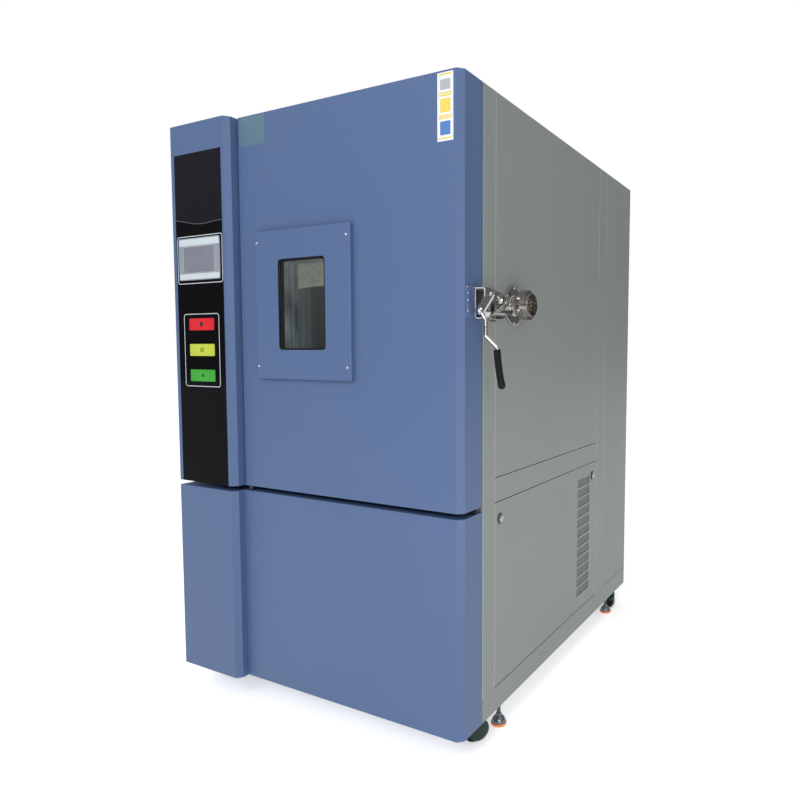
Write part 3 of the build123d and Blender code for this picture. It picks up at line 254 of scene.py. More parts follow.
    @classmethod
    def turned(
        cls, name: str, seat: Vector, along: Vector, profile: Profile, sides: int = 24, hollow: bool = False
    ) -> bpy.types.Object:
        """Turn a round piece, step by step, from its height and radius at each step.

        Args:
            name: Name of the piece.
            seat: Where height 0 stands, in metres.
            along: Direction of the piece's axis.
            profile: Height and radius of each step, in millimetres.
            sides: Number of sides, 6 for a hexagon.
            hollow: True for a ring, whose profile comes back to its first step.

        Returns:
            The finished piece.
        """
        cls.clear()
        height, radius = profile[0]
        fill = "NOTHING" if hollow else "NGON"
        bpy.ops.mesh.primitive_circle_add(
            vertices=sides, radius=radius * MM, fill_type=fill, location=(0, 0, height * MM)
        )
        piece = cls.settle(name)
        cls.edit(piece)
        bpy.ops.mesh.select_mode(type="VERT")
        bpy.ops.mesh.select_all(action="SELECT")
        for next_height, next_radius in profile[1:]:
            rise = {"value": (0, 0, (next_height - height) * MM)}
            bpy.ops.mesh.extrude_region_move(TRANSFORM_OT_translate=rise)
            share = next_radius / radius
            bpy.ops.transform.resize(value=(share, share, 1), center_override=(0, 0, next_height * MM))
            height, radius = next_height, next_radius
        bpy.ops.mesh.select_all(action="SELECT")
        bpy.ops.mesh.remove_doubles(threshold=0.01 * MM)
        bpy.ops.mesh.normals_make_consistent(inside=False)
        cls.clear()
        piece.select_set(True)
        bpy.context.view_layer.objects.active = piece
        piece.rotation_euler = along.to_track_quat("Z", "Y").to_euler()
        piece.location = seat
        return cls.settle(name)

    @classmethod
    def screw(cls, name: str, seat: Vector, along: Vector, radius: float, height: float) -> bpy.types.Object:
        """Turn a round screw head with a hexagon socket.

        Args:
            name: Name of the piece.
            seat: Centre of the head's foot, in metres.
            along: Direction that the head points.
            radius: Radius of the head, in millimetres.
            height: Height of the head, in millimetres.

        Returns:
            The finished head.
        """
        profile = [
            (0.0, radius),
            (height * 0.55, radius),
            (height * 0.85, radius * 0.9),
            (height, radius * 0.7),
            (height, radius * 0.42),
            (height * 0.55, radius * 0.4),
            (height * 0.5, radius * 0.05),
        ]
        return cls.turned(name, seat, along, profile, 18)

    @classmethod
    def nut(cls, name: str, seat: Vector, along: Vector, radius: float, height: float) -> bpy.types.Object:
        """Turn a hexagon nut with its edges broken and the bolt's end standing out.

        Args:
            name: Name of the piece.
            seat: Centre of the nut's foot, in metres.
            along: Direction that the nut faces.
            radius: Radius over its corners, in millimetres.
            height: Height of the nut, in millimetres.

        Returns:
            The finished nut.
        """
        body = cls.turned(
            f"{name}_hexagon",
            seat,
            along,
            [(0.0, radius * 0.94), (height * 0.12, radius), (height * 0.88, radius), (height, radius * 0.9)],
            6,
        )
        end = cls.turned(
            f"{name}_end",
            seat,
            along,
            [(0.0, radius * 0.5), (height * 1.25, radius * 0.5), (height * 1.4, radius * 0.38)],
            16,
        )
        return cls.join(name, [body, end])

    @classmethod
    def join(cls, name: str, pieces: list[bpy.types.Object]) -> bpy.types.Object:
        """Join pieces of one finish into one object.

        Args:
            name: Name of the joined piece.
            pieces: The pieces to join.

        Returns:
            The joined piece.
        """
        cls.clear()
        for piece in pieces:
            piece.select_set(True)
        bpy.context.view_layer.objects.active = pieces[0]
        bpy.ops.object.join()
        return cls.settle(name)

    @classmethod
    def copies(cls, name: str, first: bpy.types.Object, places: list[Vector]) -> bpy.types.Object:
        """Copy a piece made at the origin to its places and join the copies.

        Args:
            name: Name of the joined piece.
            first: The piece, which is removed afterwards.
            places: Where the copies go, in metres.

        Returns:
            The joined copies.
        """
        made = []
        for place in places:
            piece = first.copy()
            piece.data = first.data.copy()
            piece.data.transform(Matrix.Translation(place))
            bpy.context.scene.collection.objects.link(piece)
            made.append(piece)
        bpy.data.objects.remove(first)
        return cls.join(name, made)

    @classmethod
    def smooth(cls, piece: bpy.types.Object, degrees: float = 35.0) -> None:
        """Shade a piece smooth, apart from its sharp edges.

        Args:
            piece: The piece.
            degrees: Smallest turn between faces that stays sharp.
        """
        cls.clear()
        piece.select_set(True)
        bpy.context.view_layer.objects.active = piece
        bpy.ops.object.shade_smooth_by_angle(angle=math.radians(degrees))


class Nodes:
    """Short way to build and link shader nodes in one tree."""

    def __init__(self, tree: bpy.types.NodeTree) -> None:
        """Keep the tree that the nodes go into."""
        self.tree = tree

    def add(self, kind: str, **settings: object) -> bpy.types.Node:
        """Add a node and set its properties or unlinked inputs.

        Args:
            kind: Blender's name for the node type.
            **settings: Property names, or input names with spaces as underscores.

        Returns:
            The new node.
        """
        node = self.tree.nodes.new(kind)
        for key, value in settings.items():
            if hasattr(node, key):
                setattr(node, key, value)
            else:
                node.inputs[key.replace("_", " ")].default_value = value
        return node

    def link(self, source: bpy.types.NodeSocket, target: bpy.types.NodeSocket) -> None:
        """Link one socket to another."""
        self.tree.links.new(source, target)

    def noise(self, place: bpy.types.NodeSocket, **settings: float) -> bpy.types.NodeSocket:
        """Add a noise texture.

        Args:
            place: Where the noise is read.
            **settings: Values of its inputs.

        Returns:
            The noise, from 0 to 1.
        """
        node = self.add("ShaderNodeTexNoise", **settings)
        self.link(place, node.inputs["Vector"])
        return node.outputs["Fac"]

    def math(self, operation: str, first: object, second: object = 0.0) -> bpy.types.NodeSocket:
        """Add a maths node.

        Args:
            operation: Name of the operation.
            first: A socket or a number.
            second: A socket or a number.

        Returns:
            The node's output.
        """
        node = self.add("ShaderNodeMath", operation=operation)
        for index, value in enumerate((first, second)):
            if isinstance(value, (int, float)):
                node.inputs[index].default_value = value
            else:
                self.link(value, node.inputs[index])
        return node.outputs[0]

    def mix(self, share: object, first: object, second: object) -> bpy.types.NodeSocket:
        """Mix two colours.

        Args:
            share: A socket or number from 0, the first, to 1, the second.
            first: A socket or colour.
            second: A socket or colour.

        Returns:
            The mixed colour.
        """
        node = self.add("ShaderNodeMix", data_type="RGBA")
        for index, value in ((0, share), (6, first), (7, second)):
            if isinstance(value, (int, float)):
                node.inputs[index].default_value = value
            elif isinstance(value, tuple):
                node.inputs[index].default_value = (*value, 1.0)
            else:
                self.link(value, node.inputs[index])
        return node.outputs[2]


def new_group(
    name: str, inputs: dict[str, str], outputs: dict[str, str]
) -> tuple[bpy.types.NodeTree, Nodes]:
    """Make an empty shader node group.

    Args:
        name: Name of the group.
        inputs: Socket type by input name.
        outputs: Socket type by output name.

    Returns:
        The group's tree and its node builder.
    """
    tree = bpy.data.node_groups.new(name, "ShaderNodeTree")
    for key, kind in inputs.items():
        tree.interface.new_socket(key, in_out="INPUT", socket_type=kind)
    for key, kind in outputs.items():
        tree.interface.new_socket(key, in_out="OUTPUT", socket_type=kind)
    return tree, Nodes(tree)


FLOAT = "NodeSocketFloat"
COLOUR = "NodeSocketColor"
VECTOR = "NodeSocketVector"


def powder_group() -> bpy.types.NodeTree:
    """Build the powder coat effect: fine orange peel and a cloudy, dusty tone.

    Returns:
        The node group.
    """
    tree, nodes = new_group(
        "powder_coat",
        {"Vector": VECTOR, "Colour": COLOUR, "Dusty Colour": COLOUR, "Peel Scale": FLOAT, "Cloud": FLOAT},
        {"Colour": COLOUR, "Roughness": FLOAT, "Height": FLOAT},
    )
    start = nodes.add("NodeGroupInput")
    peel = nodes.noise(start.outputs["Vector"], Detail=3.0, Roughness=0.6)
    nodes.link(start.outputs["Peel Scale"], peel.node.inputs["Scale"])
    cloud = nodes.noise(start.outputs["Vector"], Scale=2.3, Detail=4.0, Roughness=0.65)
    speck = nodes.noise(start.outputs["Vector"], Scale=420.0, Detail=2.0)
    share = nodes.math("MULTIPLY", cloud, start.outputs["Cloud"])
    share = nodes.math("ADD", share, nodes.math("MULTIPLY", speck, 0.06))
    colour = nodes.mix(share, start.outputs["Colour"], start.outputs["Dusty Colour"])
    end = nodes.add("NodeGroupOutput")
    nodes.link(colour, end.inputs["Colour"])
    change = nodes.math("ADD", nodes.math("MULTIPLY", cloud, 0.12), -0.05)
    nodes.link(change, end.inputs["Roughness"])
    nodes.link(peel, end.inputs["Height"])
    return tree


def grain_group() -> bpy.types.NodeTree:
    """Build the brushed metal effect: long fine scratches along one direction.

    Returns:
        The node group.
    """
    tree, nodes = new_group(
        "brushed_grain",
        {"Vector": VECTOR, "Stretch": VECTOR, "Colour": COLOUR, "Dark Colour": COLOUR, "Contrast": FLOAT},
        {"Colour": COLOUR, "Roughness": FLOAT, "Height": FLOAT},
    )
    start = nodes.add("NodeGroupInput")
    stretched = nodes.add("ShaderNodeVectorMath", operation="MULTIPLY")
    nodes.link(start.outputs["Vector"], stretched.inputs[0])
    nodes.link(start.outputs["Stretch"], stretched.inputs[1])
    lines = nodes.noise(stretched.outputs[0], Scale=1.0, Detail=4.0, Roughness=0.7)
    smear = nodes.noise(start.outputs["Vector"], Scale=9.0, Detail=3.0)
    share = nodes.math("MULTIPLY", nodes.math("ADD", lines, smear), 0.5)
    share = nodes.math("MULTIPLY", nodes.math("SUBTRACT", share, 0.5), start.outputs["Contrast"])
    share = nodes.math("MINIMUM", nodes.math("MAXIMUM", nodes.math("ADD", share, 0.5), 0.0), 1.0)
    end = nodes.add("NodeGroupOutput")
    colour = nodes.mix(share, start.outputs["Dark Colour"], start.outputs["Colour"])
    nodes.link(colour, end.inputs["Colour"])
    change = nodes.math("MULTIPLY", nodes.math("SUBTRACT", lines, 0.5), 0.3)
    nodes.link(change, end.inputs["Roughness"])
    nodes.link(lines, end.inputs["Height"])
    return tree


class Effects:
    """The effects that several finishes share, each built once."""

    _made: dict[str, bpy.types.NodeTree] = {}
    _builders = {"powder": powder_group, "grain": grain_group}

    @classmethod
    def get(cls, name: str) -> bpy.types.NodeTree:
        """Give an effect's node group.

        Args:
            name: Name of the effect.

        Returns:
            The node group, made when it is first asked for.
        """
        if name not in cls._made:
            cls._made[name] = cls._builders[name]()
        return cls._made[name]


@dataclass(frozen=True)
class Finish:
    """What every finish has: a name, a roughness and a way to make its material."""

    name: str
    roughness: float = 0.45
    metallic: float = 0.0
    bump: float = 0.0
    specular: float = 0.5

    def material(self) -> bpy.types.Material:
        """Give the finish's material, made once.

        Returns:
            The material.
        """
        ready = bpy.data.materials.get(self.name)
        if ready:
            return ready
        made = bpy.data.materials.new(self.name)
        made.use_nodes = True
        nodes = Nodes(made.node_tree)
        shader = made.node_tree.nodes["Principled BSDF"]
        shader.inputs["Roughness"].default_value = self.roughness
        shader.inputs["Metallic"].default_value = self.metallic
        shader.inputs["Specular IOR Level"].default_value = self.specular
        place = nodes.add("ShaderNodeTexCoord").outputs["Object"]
        self.dress(nodes, shader, place)
        return made

    def dress(self, nodes: Nodes, shader: bpy.types.Node, place: bpy.types.NodeSocket) -> None:
        """Link the finish's own nodes; each kind of finish has its own way."""

    def rough(self, nodes: Nodes, shader: bpy.types.Node, change: bpy.types.NodeSocket) -> None:
        """Add a change that varies over the surface to the roughness."""
        total = nodes.math("ADD", change, self.roughness)
        nodes.link(total, shader.inputs["Roughness"])

    def raise_bump(
        self, nodes: Nodes, shader: bpy.types.Node, height: bpy.types.NodeSocket, distance: float
    ) -> None:
        """Link a height to the shader's normal through a bump node.

        Args:
            nodes: Builder of the material's nodes.
            shader: The material's shader.
            height: The height, from 0 to 1.
            distance: Height of a full step, in metres.
        """
        bump = nodes.add("ShaderNodeBump", Strength=self.bump, Distance=distance)
        nodes.link(height, bump.inputs["Height"])
        nodes.link(bump.outputs["Normal"], shader.inputs["Normal"])


@dataclass(frozen=True)
class Powder(Finish):
    """Powder coated sheet."""

    colour: Colour = (0.5, 0.5, 0.5)
    dusty: Colour = (0.5, 0.5, 0.5)
    peel: float = 900.0
    cloud: float = 0.35
    coat: float = 0.0

    def dress(self, nodes: Nodes, shader: bpy.types.Node, place: bpy.types.NodeSocket) -> None:
        """Link the powder coat effect."""
        effect = nodes.add("ShaderNodeGroup", node_tree=Effects.get("powder"))
        nodes.link(place, effect.inputs["Vector"])
        effect.inputs["Colour"].default_value = (*self.colour, 1.0)
        effect.inputs["Dusty Colour"].default_value = (*self.dusty, 1.0)
        effect.inputs["Peel Scale"].default_value = self.peel
        effect.inputs["Cloud"].default_value = self.cloud
        nodes.link(effect.outputs["Colour"], shader.inputs["Base Color"])
        self.rough(nodes, shader, effect.outputs["Roughness"])
        self.raise_bump(nodes, shader, effect.outputs["Height"], 0.0002)
        shader.inputs["Coat Weight"].default_value = self.coat


@dataclass(frozen=True)
class Brushed(Finish):
    """Brushed or drawn bare metal."""

    colour: Colour = (0.6, 0.6, 0.6)
    dark: Colour = (0.5, 0.5, 0.5)
    along: Axis = Axis.Z
    fine: float = 900.0
    long: float = 12.0
    glow: float = 0.0
    contrast: float = 1.0

    def dress(self, nodes: Nodes, shader: bpy.types.Node, place: bpy.types.NodeSocket) -> None:
        """Link the brushed grain effect."""
        effect = nodes.add("ShaderNodeGroup", node_tree=Effects.get("grain"))
        nodes.link(place, effect.inputs["Vector"])
        stretch = [self.fine] * 3
        stretch[self.along.value] = self.long
        effect.inputs["Stretch"].default_value = stretch
        effect.inputs["Colour"].default_value = (*self.colour, 1.0)
        effect.inputs["Dark Colour"].default_value = (*self.dark, 1.0)
        effect.inputs["Contrast"].default_value = self.contrast
        nodes.link(effect.outputs["Colour"], shader.inputs["Base Color"])
        if self.glow:
            nodes.link(effect.outputs["Colour"], shader.inputs["Emission Color"])
            shader.inputs["Emission Strength"].default_value = self.glow
        self.rough(nodes, shader, effect.outputs["Roughness"])
        self.raise_bump(nodes, shader, effect.outputs["Height"], 0.0001)


@dataclass(frozen=True)
class Moulded(Finish):
    """Moulded plastic or rubber with a fine skin."""

    colour: Colour = (0.1, 0.1, 0.1)
    light: Colour = (0.12, 0.12, 0.12)
    skin: float = 700.0

    def dress(self, nodes: Nodes, shader: bpy.types.Node, place: bpy.types.NodeSocket) -> None:
        """Link a fine moulded skin and a slow change of tone."""
        skin = nodes.noise(place, Scale=self.skin, Detail=3.0)
        tone = nodes.noise(place, Scale=18.0, Detail=3.0)
        nodes.link(nodes.mix(tone, self.colour, self.light), shader.inputs["Base Color"])
        change = nodes.math("MULTIPLY", nodes.math("SUBTRACT", tone, 0.5), 0.15)
        self.rough(nodes, shader, change)
        self.raise_bump(nodes, shader, skin, 0.0002)


@dataclass(frozen=True)
class Glazed(Finish):
    """Clear glass with a green tint and faint smears."""

    tint: Colour = (0.96, 0.98, 0.97)
    smear: float = 0.04

    def dress(self, nodes: Nodes, shader: bpy.types.Node, place: bpy.types.NodeSocket) -> None:
        """Link the tint and the smears."""
        shader.inputs["Transmission Weight"].default_value = 1.0
        shader.inputs["Specular IOR Level"].default_value = 0.5
        shader.inputs["IOR"].default_value = 1.45
        haze = nodes.noise(place, Scale=11.0, Detail=5.0)
        darker = tuple(channel * 0.96 for channel in self.tint)
        nodes.link(nodes.mix(haze, self.tint, darker), shader.inputs["Base Color"])
        self.rough(nodes, shader, nodes.math("MULTIPLY", haze, self.smear))


@dataclass(frozen=True)
class PanelGlass(Finish):
    """Black back-painted glass: plain and deep below a wavy line, finely speckled above it."""

    left: float = 0.0
    right: float = 1.0
    line: float = 1.5

    def dress(self, nodes: Nodes, shader: bpy.types.Node, place: bpy.types.NodeSocket) -> None:
        """Link the speckle above the wave and the plain black below it."""
        split = nodes.add("ShaderNodeSeparateXYZ")
        nodes.link(place, split.inputs[0])
        from_left = nodes.math("SUBTRACT", split.outputs["X"], self.left)
        across = nodes.math("DIVIDE", from_left, self.right - self.left)
        turn = nodes.math("ADD", nodes.math("MULTIPLY", across, WAVE_TURN), WAVE_START)
        level = nodes.math("ADD", nodes.math("MULTIPLY", nodes.math("COSINE", turn), WAVE_RISE), self.line)
        level = nodes.math("SUBTRACT", level, nodes.math("MULTIPLY", across, WAVE_FALL))
        above = nodes.math("GREATER_THAN", split.outputs["Z"], level)
        speck = nodes.noise(place, Scale=260.0, Detail=4.0, Roughness=0.75)
        dotted = nodes.mix(speck, (0.003, 0.003, 0.005), (0.017, 0.016, 0.022))
        nodes.link(nodes.mix(above, (0.004, 0.004, 0.005), dotted), shader.inputs["Base Color"])
        haze = nodes.noise(place, Scale=30.0, Detail=3.0)
        smear = nodes.math("MULTIPLY", haze, 0.05)
        self.rough(nodes, shader, nodes.math("ADD", smear, nodes.math("MULTIPLY", above, 0.22)))


@dataclass(frozen=True)
class PaintedPaneView(Finish):
    """Plate on the inner pane with painted light: a pale speckled lit wall above a soft curve, painted shade
    with upright streaks below it, all glowing as painted light.
    """

    left: float = 0.0
    right: float = 1.0
    level: float = 1.2
    glow: float = 0.9

    def dress(self, nodes: Nodes, shader: bpy.types.Node, place: bpy.types.NodeSocket) -> None:
        """Link the pale speckled part of painted light, the painted shade and the streaks."""
        split = nodes.add("ShaderNodeSeparateXYZ")
        nodes.link(place, split.inputs[0])
        from_left = nodes.math("SUBTRACT", split.outputs["X"], self.left)
        across = nodes.math("DIVIDE", from_left, self.right - self.left)
        bow = nodes.math("MULTIPLY", nodes.math("POWER", nodes.math("SUBTRACT", across, 0.45), 2.0), -0.030)
        line = nodes.math("ADD", bow, self.level)
        above = nodes.math("GREATER_THAN", split.outputs["Z"], line)
        lit_speck = nodes.noise(place, Scale=190.0, Detail=4.0, Roughness=0.7)
        # Pale speckle above the curve: painted light of a lit wall inside the chamber.
        pale = nodes.mix(lit_speck, (0.040, 0.048, 0.036), (0.330, 0.350, 0.290))
        stretched = nodes.add("ShaderNodeVectorMath", operation="MULTIPLY")
        nodes.link(place, stretched.inputs[0])
        stretched.inputs[1].default_value = (150.0, 1.0, 2.0)
        streak = nodes.noise(stretched.outputs[0], Scale=1.0, Detail=3.0, Roughness=0.8)
        # The streaks get painted highlights that grow stronger towards the left edge.
        fade = nodes.math("SUBTRACT", 1.0, nodes.math("MULTIPLY", across, 2.4))
        near_edge = nodes.math("MULTIPLY", nodes.math("MAXIMUM", fade, 0.0), 1.3)
        lift = nodes.math("MULTIPLY", streak, nodes.math("ADD", near_edge, 0.35))
        # Near-black below the curve: painted shade inside the chamber.
        dark = nodes.mix(lift, (0.006, 0.005, 0.007), (0.078, 0.092, 0.098))
        colour = nodes.mix(above, dark, pale)
        nodes.link(colour, shader.inputs["Base Color"])
        # The whole plate glows as painted light, standing in for light that comes through the panes.
        nodes.link(colour, shader.inputs["Emission Color"])
        shader.inputs["Emission Strength"].default_value = self.glow
        self.rough(nodes, shader, nodes.math("MULTIPLY", lit_speck, 0.2))


@dataclass(frozen=True)
class Lens(Finish):
    """Coloured lamp lens that glows a little, brighter towards its middle."""

    colour: Colour = (0.8, 0.1, 0.1)
    edge: Colour = (0.6, 0.05, 0.05)
    middle: Point = (0.0, 0.0, 0.0)
    glow: float = 0.12

    def dress(self, nodes: Nodes, shader: bpy.types.Node, place: bpy.types.NodeSocket) -> None:
        """Link the lens colour, its glow and the prisms behind it."""
        away = nodes.add("ShaderNodeVectorMath", operation="DISTANCE")
        nodes.link(place, away.inputs[0])
        away.inputs[1].default_value = self.middle
        share = nodes.math("MULTIPLY", away.outputs["Value"], 14.0)
        colour = nodes.mix(nodes.math("MINIMUM", share, 1.0), self.colour, self.edge)
        prism = nodes.add("ShaderNodeTexVoronoi", Scale=420.0)
        nodes.link(place, prism.inputs["Vector"])
        nodes.link(colour, shader.inputs["Base Color"])
        nodes.link(colour, shader.inputs["Emission Color"])
        shader.inputs["Emission Strength"].default_value = self.glow
        self.raise_bump(nodes, shader, prism.outputs["Distance"], 0.0003)


@dataclass(frozen=True)
class Punched(Powder):
    """Painted sheet with rows of fine punched holes."""

    pitch: float = 0.0045
    hole: float = 0.0015
    hole_colour: Colour = (0.02, 0.02, 0.02)

    def dress(self, nodes: Nodes, shader: bpy.types.Node, place: bpy.types.NodeSocket) -> None:
        """Link the powder coat, then darken and sink the holes."""
        super().dress(nodes, shader, place)
        base = shader.inputs["Base Color"].links[0].from_socket
        split = nodes.add("ShaderNodeSeparateXYZ")
        nodes.link(place, split.inputs[0])
        offsets = []
        row_pitch = self.pitch * ROW_SHARE
        row = nodes.math("FLOOR", nodes.math("DIVIDE", split.outputs["Z"], row_pitch))
        shift = nodes.math("MULTIPLY", nodes.math("MODULO", row, 2.0), self.pitch / 2)
        along = nodes.math("ADD", split.outputs["Y"], shift)
        for value, pitch in ((along, self.pitch), (split.outputs["Z"], row_pitch)):
            cell = nodes.math("FLOORED_MODULO", value, pitch)
            offsets.append(nodes.math("POWER", nodes.math("SUBTRACT", cell, pitch / 2), 2.0))
        away = nodes.math("SQRT", nodes.math("ADD", offsets[0], offsets[1]))
        open_here = nodes.math("LESS_THAN", away, self.hole)
        nodes.link(nodes.mix(open_here, base, self.hole_colour), shader.inputs["Base Color"])


CABINET = Powder(
    "cabinet_powder", roughness=0.42, bump=0.10, specular=0.3, colour=(0.200, 0.222, 0.214),
    dusty=(0.165, 0.182, 0.176)
)
FRONT = Powder(
    "front_powder", roughness=0.40, bump=0.12, specular=0.3, colour=(0.067, 0.109, 0.218),
    dusty=(0.058, 0.094, 0.190)
)
# Lighter tone of the cabinet's paint, used as painted highlight along the panel edges and posts.
CABINET_HIGHLIGHT = Powder(
    "cabinet_painted_highlight", roughness=0.36, bump=0.08, colour=(0.290, 0.320, 0.308),
    dusty=(0.255, 0.282, 0.272)
)
VENT = Punched(
    "vent_powder", roughness=0.5, bump=0.1, colour=(0.138, 0.155, 0.148),
    dusty=(0.120, 0.134, 0.128)
)
# Black enamel of the real black parts, also used as painted shade on the hinge plates and in the latch's
# hollow.
BLACK_PAINT_AND_SHADE = Powder(
    "black_enamel_and_painted_shade", roughness=0.35, bump=0.08, colour=(0.012, 0.012, 0.013),
    dusty=(0.03, 0.03, 0.03)
)
CAST_PAINT = Powder(
    "cast_paint", roughness=0.55, bump=0.35, colour=(0.10, 0.11, 0.12), dusty=(0.08, 0.09, 0.09),
    peel=160.0
)
GALVANISED = Brushed(
    "galvanised_sheet", roughness=0.42, metallic=0.85, bump=0.1, colour=(0.58, 0.60, 0.62),
    dark=(0.44, 0.46, 0.48)
)
STAINLESS = Brushed(
    "stainless_sheet", roughness=0.30, metallic=1.0, bump=0.08, colour=(0.62, 0.62, 0.61),
    dark=(0.50, 0.50, 0.49), along=Axis.Z
)
POLISHED = Brushed(
    "polished_hardware", roughness=0.16, metallic=1.0, bump=0.04, colour=(0.66, 0.66, 0.65),
    dark=(0.36, 0.355, 0.345), along=Axis.X, fine=240.0, long=60.0
)
BRIGHT = Brushed(
    "bright_hardware", roughness=0.10, metallic=1.0, bump=0.03, colour=(0.56, 0.56, 0.56),
    dark=(0.36, 0.355, 0.35), along=Axis.X, fine=160.0, long=80.0
)
TURNED = Brushed(
    "turned_steel", roughness=0.20, metallic=1.0, bump=0.05, colour=(0.50, 0.48, 0.455),
    dark=(0.33, 0.31, 0.295), along=Axis.X, fine=420.0, long=420.0
)
FOOT_STEEL = Brushed(
    "dark_foot_steel", roughness=0.20, metallic=0.8, bump=0.05, specular=0.2,
    colour=(0.230, 0.255, 0.275), dark=(0.110, 0.122, 0.132), along=Axis.Z, fine=300.0, long=300.0
)
COIL = Brushed(
    "coil_fins", roughness=0.35, metallic=0.9, bump=0.2, colour=(0.70, 0.72, 0.73),
    dark=(0.45, 0.47, 0.48), along=Axis.Z
)
CERAMIC = Moulded(
    "brown_insulator", roughness=0.35, bump=0.15, colour=(0.060, 0.032, 0.022),
    light=(0.110, 0.062, 0.045)
)
# Dark colour for the painted shade in the panel seams.
SEAM_SHADE = Moulded(
    "seam_shadow", roughness=0.8, bump=0.1, colour=(0.030, 0.034, 0.033),
    light=(0.050, 0.055, 0.053)
)
FOAM = Moulded(
    "insulation_foam", roughness=0.9, bump=0.6, colour=(0.55, 0.46, 0.24), light=(0.66, 0.56, 0.33),
    skin=120.0
)
BEZEL = Moulded(
    "bezel_plastic", roughness=0.38, bump=0.05, colour=(0.190, 0.215, 0.255),
    light=(0.215, 0.240, 0.280)
)
BEZEL_BAND = Moulded(
    "bezel_band", roughness=0.30, bump=0.03, colour=(0.430, 0.480, 0.520),
    light=(0.470, 0.520, 0.560)
)
SCREEN = Moulded(
    "screen_film", roughness=0.25, bump=0.02, colour=(0.150, 0.153, 0.195),
    light=(0.170, 0.173, 0.215)
)
RUBBER = Moulded(
    "black_rubber", roughness=0.50, bump=0.25, specular=0.12, colour=(0.004, 0.005, 0.006),
    light=(0.009, 0.010, 0.011)
)
HOUSING = Moulded(
    "castor_moulding", roughness=0.16, bump=0.06, specular=0.28, colour=(0.006, 0.016, 0.011),
    light=(0.016, 0.036, 0.026)
)
ORANGE = Moulded(
    "orange_pad", roughness=0.50, bump=0.20, colour=(0.75, 0.19, 0.05), light=(0.85, 0.26, 0.09)
)
PRINT = Moulded(
    "white_print", roughness=0.45, bump=0.02, colour=(0.42, 0.46, 0.49), light=(0.50, 0.54, 0.57)
)
GREY_LINE = Moulded(
    "grey_line", roughness=0.45, bump=0.02, colour=(0.10, 0.10, 0.11), light=(0.14, 0.14, 0.15)
)
LABEL = Moulded(
    "bare_label", roughness=0.40, bump=0.05, colour=(0.062, 0.122, 0.175),
    light=(0.080, 0.150, 0.200)
)
STRIP = Moulded(
    "white_strip", roughness=0.35, bump=0.03, colour=(0.56, 0.59, 0.64), light=(0.62, 0.65, 0.69)
)
YELLOW_PATCH = Moulded(
    "yellow_patch", roughness=0.4, bump=0.03, colour=(0.58, 0.45, 0.05), light=(0.64, 0.50, 0.08)
)
BLUE_PATCH = Moulded(
    "blue_patch", roughness=0.4, bump=0.03, colour=(0.045, 0.13, 0.36), light=(0.06, 0.16, 0.42)
)
GREY_PATCH = Moulded(
    "grey_patch", roughness=0.4, bump=0.03, colour=(0.30, 0.31, 0.32), light=(0.36, 0.37, 0.38)
)
# Spacer metal with strong streaks that glows as painted light.
SPACER = Brushed(
    "pane_spacer", roughness=0.35, metallic=0.6, bump=0.05, colour=(0.200, 0.240, 0.245),
    dark=(0.002, 0.002, 0.004), fine=260.0, long=2.0, glow=0.30, contrast=4.0
)
ZINC = Brushed(
    "zinc_plating", roughness=0.30, metallic=0.4, bump=0.03, colour=(0.58, 0.62, 0.68),
    dark=(0.42, 0.46, 0.51)
)
PANES = Glazed("pane_glass", roughness=0.01)
# Near-black for painted shade in the window edge, the door gap and round the locks, also used for the printed
# lamp marks.
SHADE_AND_MARK_BLACK = Moulded(
    "painted_shade_and_mark_black", roughness=0.8, bump=0.1, colour=(0.006, 0.006, 0.007),
    light=(0.012, 0.012, 0.013)
)


def joint_named(name: str) -> dict:
    """Give a joint of the frame by its name."""
    return next(joint for joint in frame["joints"] if joint["name"] == name)


def dress_node(node: str, finish: Finish) -> None:
    """Give a CAD node a finish.

    Args:
        node: Name of the node.
        finish: The finish.
    """
    piece = frame["nodes"][node]
    if not piece.material_slots:
        piece.data.materials.append(None)
    for place in piece.material_slots:
        place.material = finish.material()
    LOG.info("dressed %s in %s", node, finish.name)


def fit(piece: bpy.types.Object, finish: Finish, body: str) -> None:
    """Finish a new piece and let it ride on its body.

    Args:
        piece: The piece.
        finish: Its finish.
        body: Name of the CAD body that carries it.
    """
    piece.data.materials.clear()
    piece.data.materials.append(finish.material())
    Workshop.smooth(piece)
    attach(piece, body)
    LOG.info("fitted %s on %s", piece.name, body)


@dataclass
class Cabinet:
    """The fixed housing: painted sheet, base tray, chamber front and machinery."""

    painted: tuple[str, ...] = (
        "cabinet_frame",
        "upper_side_panels",
        "left_service_panel",
        "rear_side_panels",
        "top_panel",
        "rear_panel",
        "service_panel",
    )

    def build(self) -> None:
        """Give the sheet and the inside their finishes."""
        for node in self.painted:
            dress_node(node, CABINET)
        for node in ("front_fascia", "control_column"):
            dress_node(node, FRONT)
        dress_node("vent_screens", VENT)
        dress_node("base_frame", GALVANISED)
        dress_node("control_box", GALVANISED)
        # The hinge plates in black: painted shade, so they sink into the shadow of the door gap.
        dress_node("hinge_plates", BLACK_PAINT_AND_SHADE)
        dress_node("chamber_front", BLACK_PAINT_AND_SHADE)
        dress_node("compressors", BLACK_PAINT_AND_SHADE)
        dress_node("fan_motor", BLACK_PAINT_AND_SHADE)
        dress_node("vacuum_pump", CAST_PAINT)
        dress_node("chamber_insulation", FOAM)
        dress_node("condenser", COIL)
        dress_node("evaporator", COIL)
        dress_node("condenser_fan", RUBBER)
        for node in ("chamber_liner", "shelf", "air_baffle", "fan_impeller", "heater"):
            dress_node(node, STAINLESS)


